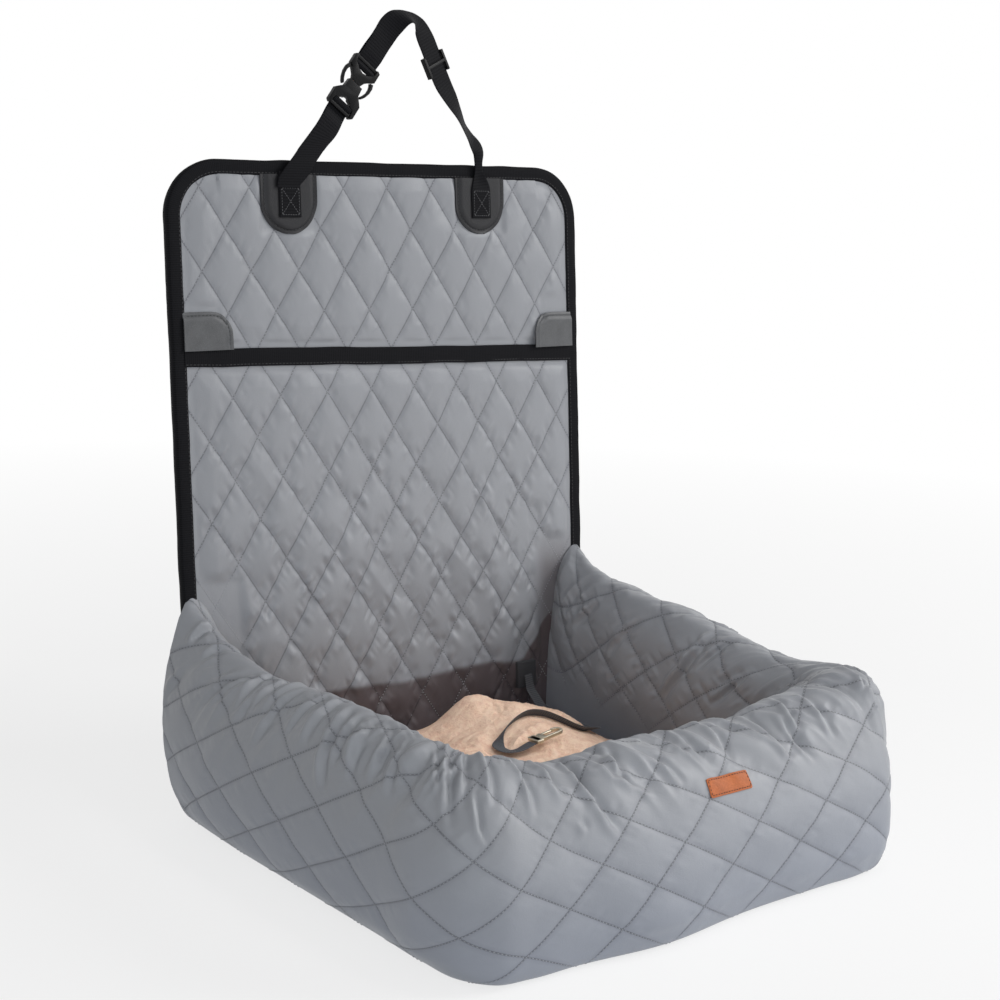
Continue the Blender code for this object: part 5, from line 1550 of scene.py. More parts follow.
    def make_boxes(self) -> None:
        """Sew the crossed boxes on the strap's ends."""
        needle = Needle("strap_end_stitching", *BOX_SEWING)
        half, low, high = self.width / 2 - 0.0026, self.sew_foot + 0.0025, self.sew_foot + 0.0285
        share = np.linspace(0.0, 1.0, 12)
        for centre in (-self.panel.patch_offset - self.sew_shift, self.panel.patch_offset):
            corners = [(-half, low), (half, low), (half, high), (-half, high), (-half, low)]
            runs = list(zip(corners, corners[1:]))
            runs += [((-half, low), (half, high)), ((-half, high), (half, low))]
            for (u0, v0), (u1, v1) in runs:
                line = self.panel.place(centre + u0 + (u1 - u0) * share, v0 + (v1 - v0) * share,
                                        self.middle + self.thickness / 2)
                needle.sew(line, self.panel.outward())
        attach(needle.knot(BOX_THREAD, Slot.WEBBING), Body.BACK.value)

    def make_hardware(self) -> None:
        """Make the buckle's halves, its release arms and the tri-glide with rounded edges."""
        Bench.hardware(PLASTIC, Slot.PLASTIC,
                       ("buckle_socket_half", "buckle_female", Body.LOOP, 0.0007),
                       ("buckle_plug_half", "buckle_male", Body.SIDE, 0.0007),
                       ("buckle_arm_left", "release_arm_left", Body.ARM_LEFT, 0.0006),
                       ("buckle_arm_right", "release_arm_right", Body.ARM_RIGHT, 0.0006),
                       ("strap_triglide", "triglide", Body.GLIDE, 0.0009))
        for name, reach, body in (("buckle_socket_bar", self.inner_bar, Body.LOOP),
                                  ("buckle_plug_bar", self.buckle_length - self.inner_bar, Body.SIDE)):
            middle = self.along_leg(np.array([self.buckle_start + reach]), 0.0)[0]
            along, side = self.directions()
            share = np.linspace(-1.0, 1.0, 12)[:, None] * (self.width / 2 + 0.0004)
            angle = round_angles(16)[:, None]
            rings = (middle + side * share)[:, None] + 0.0014 * (
                np.cos(angle) * along + np.sin(angle) * self.panel.outward())
            piece = Bench.finish(Bench.skin(name, rings), PLASTIC, Slot.PLASTIC, 60.0)
            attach(piece, body.value)

    def build(self) -> None:
        """Build the whole strap."""
        self.make_left()
        self.make_right()
        self.make_boxes()
        self.make_hardware()


# The bed


@dataclass
class Station:
    """One section's place on the bolsters' plan."""

    outer: Array
    inner: Array
    outward: Array
    bulge: float
    height: float
    lean: float = 0.0
    tip: float = 0.0


@dataclass
class Crease:
    """A fold in the bolsters' cloth, through points from the rim down, all in millimetres."""

    depth: float
    reach: float
    points: tuple[tuple[float, float, float], ...]


# Diamonds on the left, the front and the right: place of a crossing, and both sides' steps along and up
DIAMONDS = (((-0.27, -0.037, 0.102), (0.058, 0.032), (0.042, -0.031)),
            ((0.047, -0.24, 0.089), (0.036, 0.030), (0.054, -0.030)),
            ((0.27, -0.030, 0.100), (0.042, 0.031), (0.056, -0.031)))
# Gathers along the rim: seed, pitch, rise, and their middle and spread round the section
GATHERS = ((35.0, 0.019, 0.0038, 0.350, 0.068), (36.0, 0.0115, 0.0022, 0.375, 0.058),
           (38.0, 0.034, 0.0030, 0.320, 0.080), (39.0, 0.021, 0.0020, 0.530, 0.060))
# Soft swells of the plain surface: place, shift and reach
SWELLS = (((-0.285, 0.14, 0.11), (-0.011, 0.0, 0.0), 0.12), ((-0.285, -0.02, 0.11), (-0.005, 0.0, 0.0), 0.10),
          ((0.275, -0.18, 0.10), (-0.021, 0.005, 0.0), 0.085),
          ((0.275, -0.05, 0.10), (-0.010, 0.0, 0.0), 0.09),
          ((0.240, -0.175, 0.178), (0.016, -0.006, 0.012), 0.050),
          ((0.275, -0.20, 0.055), (-0.008, 0.004, 0.0), 0.050),
          ((-0.06, -0.235, 0.010), (0.0, -0.012, 0.0), 0.075),
          ((-0.235, 0.02, 0.166), (0.0, 0.0, 0.008), 0.075),
          ((-0.235, -0.075, 0.166), (0.0, 0.0, 0.007), 0.060),
          ((-0.205, -0.145, 0.162), (0.0, 0.0, 0.010), 0.055),
          ((-0.130, -0.165, 0.156), (0.0, 0.0, -0.006), 0.040))
# Folds from the left tip round the front to the right tip
CREASES: tuple[Crease, ...] = (
    Crease(5.0, 4.5, ((-235, 224, 192), (-263, 225, 180))),
    Crease(4.0, 4.5, ((-232, 186, 176), (-251, 197, 179), (-262, 200, 170))),
    Crease(3.5, 5.0, ((-273, 216, 158), (-281, 242, 127))),
    Crease(3.5, 4.5, ((-231, 122, 169), (-265, 112, 159), (-276, 108, 146))),
    Crease(4.0, 4.5, ((-230, 96, 168), (-265, 91, 159), (-277, 88, 146))),
    Crease(4.0, 5.0, ((-230, 66, 168), (-252, 69, 166), (-270, 72, 154))),
    Crease(3.0, 4.5, ((-258, 98, 162), (-269, 97, 154), (-280, 104, 139))),
    Crease(4.0, 4.5, ((-240, 50, 168), (-258, 57, 163), (-275, 61, 145), (-281, 66, 128))),
    Crease(3.5, 4.0, ((-236, 22, 169), (-258, 24, 162), (-274, 28, 145))),
    Crease(5.0, 5.0, ((-233, 1, 170), (-260, -1, 160), (-272, -1, 147))),
    Crease(6.0, 6.0, ((-238, -26, 168), (-258, -30, 161), (-272, -35, 144), (-282, -42, 119))),
    Crease(4.5, 5.0, ((-240, -44, 167), (-257, -46, 161), (-274, -51, 139))),
    Crease(4.5, 5.0, ((-244, -67, 167), (-263, -70, 154), (-275, -74, 136))),
    Crease(5.0, 5.0, ((-241, -90, 167), (-260, -100, 156), (-271, -98, 140))),
    Crease(4.5, 5.0, ((-242, -115, 166), (-263, -124, 152), (-272, -128, 138))),
    Crease(5.0, 6.0, ((-223, -135, 163), (-240, -165, 155), (-257, -189, 142), (-262, -200, 125))),
    Crease(3.0, 4.0, ((-234, -139, 166), (-258, -180, 146))),
    Crease(3.5, 5.0, ((-212, -145, 162), (-238, -182, 155), (-252, -196, 142))),
    Crease(4.5, 5.5, ((-200, -150, 161), (-219, -191, 153), (-228, -205, 142))),
    Crease(3.5, 3.5, ((-236, -193, 150), (-245, -213, 130), (-243, -223, 118))),
    Crease(4.0, 5.0, ((-185, -165, 157), (-191, -208, 142), (-193, -219, 132))),
    Crease(5.0, 6.0, ((-160, -165, 156), (-162, -201, 147), (-157, -216, 135))),
    Crease(6.5, 6.0, ((-141, -162, 155), (-128, -174, 157), (-132, -207, 143), (-120, -229, 118),
                      (-110, -237, 105))),
    Crease(3.5, 5.0, ((-110, -170, 156), (-99, -206, 144), (-60, -222, 129))),
    Crease(3.0, 5.0, ((-150, -225, 124), (-144, -231, 114))),
    Crease(4.0, 5.0, ((-79, -172, 157), (-90, -208, 143), (-82, -217, 135))),
    Crease(4.5, 5.0, ((-61, -186, 154), (-41, -206, 144), (-30, -223, 127))),
    Crease(4.0, 5.0, ((-2, -163, 155), (2, -198, 149), (8, -215, 138))),
    Crease(4.0, 5.0, ((38, -165, 156), (41, -189, 154), (36, -213, 139))),
    Crease(5.0, 6.0, ((93, -165, 158), (93, -189, 156), (96, -212, 143), (100, -224, 128))),
    Crease(4.0, 4.5, ((117, -190, 156), (117, -204, 150), (120, -220, 135), (128, -228, 123))),
    Crease(5.0, 5.0, ((132, -165, 163), (132, -180, 163), (123, -212, 144))),
    Crease(4.5, 5.0, ((159, -175, 163), (159, -196, 159), (161, -220, 138))),
    Crease(5.5, 5.0, ((215, -150, 183), (222, -163, 181), (222, -198, 170), (244, -201, 157))),
    Crease(6.5, 6.0, ((221, -3, 179), (208, 4, 164), (198, 17, 136), (194, 41, 104))),
    Crease(5.0, 5.0, ((222, -27, 177), (207, -14, 162), (199, -2, 143))),
    Crease(5.0, 5.0, ((202, -63, 152), (194, -39, 126), (193, -29, 117))),
    Crease(4.5, 6.0, ((214, 168, 177), (205, 198, 143))),
    Crease(4.0, 6.0, ((210, 100, 170), (198, 132, 131))),
)


@dataclass
class Bolsters:
    """The padded bolsters round the bed: one quilted cover drawn over three fillings."""

    panel: BackPanel
    width: float = 0.500
    depth: float = 0.463
    corner: float = 0.045
    inner_half: float = 0.195
    inner_front: float = 0.120
    inner_corner: float = 0.025
    tip_height: float = 0.2205
    front_crest: float = 0.1565
    side_bulge: float = 0.031
    front_bulge: float = 0.011
    foot: float = 0.0071
    face_gap: float = 0.0018
    columns: int = 820
    rows: int = 240
    padding: float = 0.0027
    filling_gap: float = 0.0085
    bend_place: tuple[float, float, float] = (0.225, -0.215, 0.08)
    match_place: tuple[float, float, float] = (0.225, -0.215, 0.09)

    def __post_init__(self) -> None:
        """Lay out the plain surface, its measures and its seam phases."""
        self.net = self.plain()
        self.count, self.around = self.net.shape[:2]
        closed = np.concatenate([self.net, self.net[:, :1]], axis=1)
        girth = np.linalg.norm(np.diff(closed, axis=1), axis=2)
        self.up = np.concatenate([np.zeros((self.count, 1)), np.cumsum(girth, axis=1)], axis=1)[:, :-1]
        ridge = self.net[:, int(self.around * 0.20)]
        self.along = np.repeat(arc_lengths(ridge)[:, None], self.around, axis=1)
        normal = self.normals(self.net)
        outwards = np.sum(normal * (self.net - self.net.mean(axis=1, keepdims=True)), axis=2)
        self.normal = normal * np.sign(np.mean(outwards))
        self.bends = [self.find((side * self.bend_place[0], *self.bend_place[1:]))[0] for side in (-1.0, 1.0)]
        self.first, self.second = self.phases()

    @staticmethod
    def normals(surface: Array) -> Array:
        """A direction square to the surface at each point."""
        turning = np.roll(surface, -1, axis=1) - np.roll(surface, 1, axis=1)
        return unit(np.cross(turning, np.gradient(surface, axis=0)))

    def beyond(self, place: int, reach: float) -> Array:
        """How far each point lies past the left or the right front corner, eased from 0 to 1 over a reach."""
        corner = self.along[self.bends[place], 0]
        return ease(self.along, corner - reach, corner + reach)

    def stations(self) -> list[Station]:
        """The sections from the left tip round the front to the right tip.

        Returns:
            The sections' places.
        """
        half, front = self.width / 2, self.depth / 2
        places = (0.0, 0.07, 0.19, 0.32, 0.455, 0.59, 0.725, 0.86, 1.0)
        tips = (1.0, 0.6, 0.2, 0.0)
        left = (1.0, 0.60, 0.33, 0.24, 0.22, 0.22, 0.22, 0.20, 0.16)
        right = (0.26, 0.28, 0.36, 0.44, 0.48, 0.53, 0.62, 0.80, 1.0)
        across = (0.0, 0.0, 0.0, 0.0, 0.0, 0.02, 0.06, 0.12, 0.20)
        made: list[Station] = []

        def height(crest: float) -> float:
            """Height of a crest over the cover's foot."""
            return self.front_crest + crest * (self.tip_height - self.front_crest) - self.foot

        def side(sign: float, order: Sequence[int], crests: Sequence[float]) -> None:
            """Add the sections along one side.

            Args:
                sign: -1 on the left, 1 on the right.
                order: The sections, in turn.
                crests: How high each section is, as a share of the tip's rise.
            """
            for k in order:
                share = places[k]
                inner = front + share * (self.inner_corner - self.inner_front - front)
                made.append(Station(
                    np.array([sign * half, front + share * (self.corner - 2 * front), 0.0]),
                    np.array([sign * self.inner_half, inner, 0.0]), np.array([sign, 0.0, 0.0]),
                    self.side_bulge, height(crests[k]), (1.0 - share) ** 2,
                    tips[k] if k < len(tips) else 0.0))

        def turn(sign: float, angles: Sequence[float], crests: Sequence[float]) -> None:
            """Add the sections round one corner.

            Args:
                sign: -1 on the left, 1 on the right.
                angles: Angles from the side towards the front, in degrees.
                crests: How high each section is, as a share of the tip's rise.
            """
            for angle, crest in zip(angles, crests):
                swing = math.radians(angle)
                outward = np.array([sign * math.cos(swing), -math.sin(swing), 0.0])
                centre = np.array([sign * (half - self.corner), self.corner - front, 0.0])
                inner = np.array([sign * (self.inner_half - self.inner_corner),
                                  self.inner_corner - self.inner_front, 0.0])
                bulge = self.side_bulge + (self.front_bulge - self.side_bulge) * angle / 90.0
                made.append(Station(centre + outward * self.corner, inner + outward * self.inner_corner,
                                    outward, bulge, height(crest)))
        side(-1.0, range(9), left)
        turn(-1.0, (30.0, 60.0), (0.10, 0.04))
        for k in range(9):
            share = k / 8
            made.append(Station(
                np.array([(half - self.corner) * (2 * share - 1), -front, 0.0]),
                np.array([(self.inner_half - self.inner_corner) * (2 * share - 1), -self.inner_front, 0.0]),
                np.array([0.0, -1.0, 0.0]), self.front_bulge, height(across[k])))
        turn(1.0, (60.0, 30.0), (0.24, 0.26))
        side(1.0, range(8, -1, -1), tuple(reversed(right)))
        return made

    def ring(self, station: Station) -> Array:
        """The plain section at a station.

        Args:
            station: The section's place.

        Returns:
            Points round the section.
        """
        plain = np.array([(0.30, 0.0), (0.13, 0.09), (0.03, 0.27), (0.0, 0.47), (0.05, 0.67), (0.18, 0.85),
                          (0.40, 0.97), (0.64, 0.99), (0.84, 0.88), (0.96, 0.68), (1.0, 0.45), (0.99, 0.22),
                          (0.95, 0.0), (0.73, 0.0), (0.51, 0.0)])
        tip = np.array([(0.30, 0.0), (0.14, 0.09), (0.06, 0.24), (0.03, 0.42), (0.07, 0.60), (0.16, 0.78),
                        (0.29, 0.93), (0.40, 1.0), (0.55, 0.97), (0.71, 0.86), (0.84, 0.62), (0.94, 0.34),
                        (0.95, 0.0), (0.73, 0.0), (0.51, 0.0)])
        front = np.array([(0.07, 0.0), (0.01, 0.09), (-0.01, 0.27), (0.0, 0.47), (0.07, 0.67), (0.22, 0.86),
                          (0.42, 0.97), (0.62, 1.0), (0.80, 0.90), (0.93, 0.70), (1.0, 0.46), (0.99, 0.22),
                          (0.95, 0.0), (0.66, 0.0), (0.36, 0.0)])
        facing = abs(station.outward[1])
        shares = plain + (front - plain) * facing
        shares = shares + (tip - shares) * station.tip
        start = station.outer + station.outward * station.bulge
        points = start + (station.inner - start) * shares[:, :1]
        points[:, 2] = self.foot + shares[:, 1] * station.height
        points[:, 1] += station.lean * points[:, 2] * math.tan(self.panel.lean)
        points[:, 1] -= self.face_gap / math.cos(self.panel.lean) * station.lean ** 8
        return points

    def plain(self) -> Array:
        """The bolsters' plain surface: sections along it, and points round each.

        Returns:
            Points by section and by place round it.
        """
        coarse = np.stack([self.ring(station) for station in self.stations()])
        wrapped = np.concatenate([coarse[:, -3:], coarse, coarse[:, :4]], axis=1)
        chords = np.linalg.norm(np.diff(wrapped, axis=1), axis=2).mean(axis=0)
        places = np.concatenate([[0.0], np.cumsum(chords)])
        dense = hermite(wrapped.transpose(1, 0, 2), places, np.linspace(places[3], places[18], 421))
        chords = np.linalg.norm(np.diff(coarse, axis=0), axis=2).mean(axis=1)
        places = np.concatenate([[0.0], np.cumsum(chords)])
        dense = hermite(dense.transpose(1, 0, 2), places, np.linspace(0.0, places[-1], self.columns))
        net = np.empty((self.columns, self.rows, 3))
        for k, ring in enumerate(dense):
            lengths = arc_lengths(ring)
            share = np.linspace(0.0, lengths[-1], self.rows + 1)[:-1]
            net[k] = np.stack([np.interp(share, lengths, ring[:, axis]) for axis in range(3)], axis=1)
        for place, shift, reach in SWELLS:
            away = np.linalg.norm(net - np.array(place), axis=2)
            net = net + np.exp(-(away / reach) ** 2)[..., None] * np.array(shift)
        low = ease(net[..., 2], 0.034, self.foot)
        net[..., 2] -= low * (self.foot - 0.0016)
        return net

    def find(self, point: Sequence[float]) -> tuple[int, int]:
        """The grid place nearest to a point."""
        far = np.linalg.norm(self.net - np.array(point), axis=2)
        return tuple(np.unravel_index(np.argmin(far), far.shape))

    def phases(self) -> tuple[Array, Array]:
        """Seam phases of the diamonds, blended from the left side round the front to the right side.

        Returns:
            Both families' phases.
        """
        pairs = []
        for node, rise, fall in DIAMONDS:
            k, j = self.find(node)
            a = self.along - self.along[k, j]
            b = self.up - self.up[k, j]
            scale = rise[0] * fall[1] - fall[0] * rise[1]
            pairs.append([(fall[1] * a - fall[0] * b) / scale, (-rise[1] * a + rise[0] * b) / scale])
        for side, before, after in ((-1.0, *pairs[:2]), (1.0, *pairs[1:])):
            spot = self.find((side * self.match_place[0], *self.match_place[1:]))
            for family in range(2):
                after[family] = after[family] + np.round(before[family][spot] - after[family][spot])
        blend_left, blend_right = self.beyond(0, 0.07), self.beyond(1, 0.07)
        LOG.info("bolsters are %.3f m round", self.along[-1, 0])
        mixed = []
        for family in range(2):
            value = pairs[0][family] * (1 - blend_left) + pairs[1][family] * blend_left
            value = value * (1 - blend_right) + pairs[2][family] * blend_right
            mixed.append(value + 0.035 * grain(self.along * 12.0, self.up * 12.0, 20.0 + family))
        return mixed[0], mixed[1]

    def fold(self, crease: Crease) -> Array:
        """Height of one fold: a ridge beside a hollow, fading towards its end.

        Args:
            crease: The fold.

        Returns:
            Its height at each point.
        """
        cells = [self.find(np.array(point) / 1000.0) for point in crease.points]
        line = np.array([(self.along[cell], self.up[cell]) for cell in cells])
        lengths = arc_lengths(line)
        reach = crease.reach / 1000.0
        best = np.full(self.along.shape, 1.0)
        beyond, place = best.copy(), best.copy()
        for start, end, before in zip(line[:-1], line[1:], lengths[:-1]):
            step = end - start
            long = max(math.hypot(*step), 1e-6)
            from_along, from_up = self.along - start[0], self.up - start[1]
            share = np.clip((from_along * step[0] + from_up * step[1]) / long ** 2, 0.0, 1.0)
            off_along, off_up = from_along - share * step[0], from_up - share * step[1]
            gap = np.hypot(off_along, off_up)
            nearer = gap < best
            best = np.where(nearer, gap, best)
            beyond = np.where(nearer, (off_up * step[0] - off_along * step[1]) / long, beyond)
            place = np.where(nearer, (before + share * long) / lengths[-1], place)
        taper = np.maximum(np.sin(math.pi * (0.03 + 0.97 * place)), 0.0) ** 0.75
        return -1.7 * crease.depth / 1000.0 * taper * beyond / reach * np.exp(-(best / reach) ** 2)

    def displaced(self) -> Array:
        """The quilted, creased surface.

        Returns:
            Points by section and by place round it.
        """
        net, along, up = self.net, self.along, self.up
        girth = up[:, -1:]
        share = up / girth
        quilted = ease(up, 0.010, 0.030) * (1 - ease(share, 0.66, 0.76))
        slack = ease(share, 0.22, 0.40)
        height = relief(self.first, self.second, self.padding, 0.0007 + 0.0010 * slack, 8.0, 11.0) * quilted
        height += 0.0024 * (grain(along * 12.0, up * 10.0, 31.0) - 0.3) * quilted
        height += 0.0007 * grain(along * 34.0 + up * 12.0, up * 30.0, 33.0) * quilted
        lean = up - 0.47 * girth
        slant = -0.75 + 1.25 * self.beyond(0, 0.08) - 1.1 * self.beyond(1, 0.08)
        for seed, pitch, rise, middle, spread in GATHERS:
            run = (along + slant * lean) / pitch
            ridge = 1.0 - 2.2 * np.abs(grain(run, lean * 7.0 + seed, seed))
            patch = 0.35 + 1.0 * np.clip(grain(along * 9.0, lean * 6.0, seed + 5.0) + 0.3, 0.0, 1.0)
            height += rise * ridge * patch * np.exp(-((share - middle) / spread) ** 2)
        inside = ease(share, 0.50, 0.56) * (1 - ease(share, 0.70, 0.76))
        height += inside * 0.0010 * grain(along * 40.0, up * 14.0, 37.0)
        for crease in CREASES:
            height += self.fold(crease)
        fade = ease(along, 0.0, 0.012) * (1 - ease(along, along[-1, 0] - 0.012, along[-1, 0]))
        height *= 0.35 + 0.65 * fade
        points = net + self.normal * height[..., None]
        points[..., 2] = np.maximum(points[..., 2], 0.0006)
        plane = self.panel.depth + points[..., 2] * math.tan(self.panel.lean) - 0.0016
        points[..., 1] = np.minimum(points[..., 1], plane)
        return points

    def make_cover(self) -> Thing:
        """Make the cover.

        Returns:
            The cover.
        """
        self.surface = self.displaced()
        share = self.up / self.up[:, -1:]
        strength = (1 - ease(share, 0.70, 0.76)) * ease(self.up, 0.004, 0.012)
        seams = np.stack([self.first, self.second, strength], axis=-1)
        piece = Bench.skin("bolster_quilted_cover", self.surface, seams=seams)
        Bench.finish(piece, COVER, Slot.CLOTH, 75.0)
        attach(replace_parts(piece, "bolster_cover"), Body.BED.value)
        return piece

    def make_seams(self) -> None:
        """Sew the diamonds' seams along whole phases."""
        needle = Needle("bolster_stitching", *BOLSTER_QUILTING)
        normal = self.normals(self.surface)
        normal *= np.sign(np.sum(normal * self.normal, axis=2, keepdims=True))
        top = int(self.around * 0.745)
        for phase in (self.first, self.second):
            area = phase[:, :top]
            rising = area[0, -1] > area[0, 0]
            for level in range(int(area.min()) - 1, int(area.max()) + 2):
                run: list[Array] = []
                outs: list[Array] = []
                for k in range(3, self.count - 3):
                    values = area[k] if rising else area[k, ::-1]
                    inside = values[0] < level < values[-1]
                    if inside:
                        place = float(np.interp(level, values, np.arange(top)))
                        place = place if rising else top - 1 - place
                        low = int(place)
                        share = place - low
                        high = min(low + 1, self.around - 1)
                        run.append(self.surface[k, low] * (1 - share) + self.surface[k, high] * share)
                        outs.append(normal[k, low] * (1 - share) + normal[k, high] * share)
                    if run and (not inside or k == self.count - 4):
                        if len(run) > 3:
                            needle.sew(np.array(run), np.array(outs), 0.0002)
                        run, outs = [], []
        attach(needle.knot(THREAD, Slot.CLOTH), Body.BED.value)

    def make_fillings(self) -> None:
        """Make the three fillings, a little inside the cover."""
        left, right = self.bends
        inside = self.net - self.normal * self.filling_gap
        inside[..., 2] = np.maximum(inside[..., 2], self.foot + 0.0014)
        for name, first, last in (("left", 5, left - 2), ("front", left + 2, right - 2),
                                  ("right", right + 2, self.count - 5)):
            piece = Bench.skin(f"bolster_filling_{name}", inside[first:last:3, ::3])
            Bench.finish(piece, FOAM, Slot.FOAM, 75.0)
            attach(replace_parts(piece, f"bolster_fill_{name}"), Body.BED.value)

    def build(self) -> Thing:
        """Build the bolsters.

        Returns:
            The cover.
        """
        self.make_fillings()
        cover = self.make_cover()
        self.make_seams()
        return cover


# Humps and hollows of the plush: rise, place and reach
HUMPS = ((6.6, 0.018, 0.150, 0.026), (-2.4, -0.040, 0.120, 0.030), (-2.4, 0.088, 0.132, 0.032))
# The cushion's side and underside, from the edge of its top: shares of its half size and of its side's height
UNDERSIDE = ((1.004, 0.78), (1.0, 0.5), (0.985, 0.28), (0.96, 0.10), (0.93, 0.0), (0.6, 0.0), (0.3, 0.0),
             (0.0, 0.0))
# Fullness of its top from the middle to the edge: shares of the way out, and the crown's height at each
CROWN_SHARES = (0.0, 0.25, 0.5, 0.7, 0.85, 0.95, 1.0)
CROWN_VALUES = (1.0, 0.985, 0.92, 0.79, 0.60, 0.38, 0.10)


@dataclass
class Cushion:
    """The plush cushion that lies in the bed."""

    left: float = -0.178
    right: float = 0.166
    front: float = -0.107
    back: float = 0.208
    foot: float = 0.0262
    crown: float = 0.044
    side: float = 0.020
    hump: tuple[float, float] = (0.060, 0.120)
    hump_rise: float = 0.030
    hump_spread: float = 0.050
    power: float = 4.6
    steps: int = 340

    def centre(self) -> tuple[float, float]:
        """Its middle in plan."""
        return (self.left + self.right) / 2, (self.front + self.back) / 2

    def lift(self, x: Array, y: Array, radial: Array) -> Array:
        """Height of its top over half its side, from the place and the share of the way to its edge.

        Args:
            x: Places across the bed.
            y: Places along the bed.
            radial: Share of the way to the edge.

        Returns:
            The height at each place.
        """
        crown = np.interp(radial, CROWN_SHARES, CROWN_VALUES)
        span = ((x - self.hump[0]) ** 2 + (y - self.hump[1]) ** 2) / (2 * self.hump_spread ** 2)
        hump = self.hump_rise * np.exp(-span) * np.minimum(1.0, 6 * (1 - radial))
        return (self.crown - self.side / 2) * crown + hump

    def height(self, x: Array, y: Array) -> Array:
        """Height of its top, or of its side outside it.

        Args:
            x: Places across the bed.
            y: Places along the bed.

        Returns:
            The height at each place.
        """
        centre_x, centre_y = self.centre()
        half_x, half_y = (self.right - self.left) / 2, (self.back - self.front) / 2
        radial = (np.abs((x - centre_x) / half_x) ** self.power
                  + np.abs((y - centre_y) / half_y) ** self.power) ** (1 / self.power)
        inside = self.foot + self.side / 2 + self.lift(x, y, np.minimum(radial, 1.0))
        return np.where(radial >= 1.0, self.foot + self.side, inside)

    def build(self, route: Array) -> Thing:
        """Build the cushion: a crowned form with clumped pile and soft hollows.

        Args:
            route: Points of the tether that lies on it.

        Returns:
            The cushion.
        """
        centre_x, centre_y = self.centre()
        angle = round_angles(self.steps)
        edge_x = (self.right - self.left) / 2 * squared(np.cos(angle), 2.0 / self.power)
        edge_y = (self.back - self.front) / 2 * squared(np.sin(angle), 2.0 / self.power)
        radial = np.concatenate([[0.0], np.linspace(0.012, 1.0, 118)])
        x = centre_x + edge_x * radial[:, None]
        y = centre_y + edge_y * radial[:, None]
        z = self.foot + self.side / 2 + self.lift(x, y, radial[:, None])
        rows = [np.stack([x, y, z], axis=-1)]
        for share, rise in UNDERSIDE:
            rows.append(np.stack([centre_x + edge_x * share, centre_y + edge_y * share,
                                  self.foot + (z[-1] - self.foot) * rise], axis=-1)[None])
        shape = np.concatenate(rows)
        inside = ease(shape[..., 2], self.foot + 0.002, self.foot + 0.016)
        x, y = shape[..., 0], shape[..., 1]
        soft = 0.0030 * grain(x * 24.0, y * 24.0, 41.0) + 0.0016 * grain(x * 60.0 + 3.0, y * 50.0, 42.0)
        clump = 0.0016 * np.abs(grain(x * 110.0 + 20 * soft, y * 90.0, 43.0))
        clump += 0.0007 * grain(x * 330.0, y * 300.0, 44.0)
        fold = 1.0 - 2.2 * np.abs(grain(x * 17.0 + y * 6.0, y * 10.0 - x * 4.0, 45.0))
        for rise, middle_x, middle_y, reach in HUMPS:
            fold += rise * np.exp(-((x - middle_x) ** 2 + (y - middle_y) ** 2) / reach ** 2)
        near = np.full(x.shape, 1.0)
        for under_x, under_y in route[:, :2]:
            near = np.minimum(near, np.hypot(x - under_x, y - under_y))
        free = ease(near, 0.007, 0.022)
        shape[..., 2] += ((soft + clump + 0.0030 * fold + 0.0010) * free - 0.0012 * (1 - free)) * inside
        piece = Bench.skin("cushion_plush_cover", shape[::-1], caps=False)
        Bench.finish(piece, PLUSH, Slot.PLUSH, 80.0)
        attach(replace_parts(piece, "cushion_cover"), Body.BED.value)
        return piece


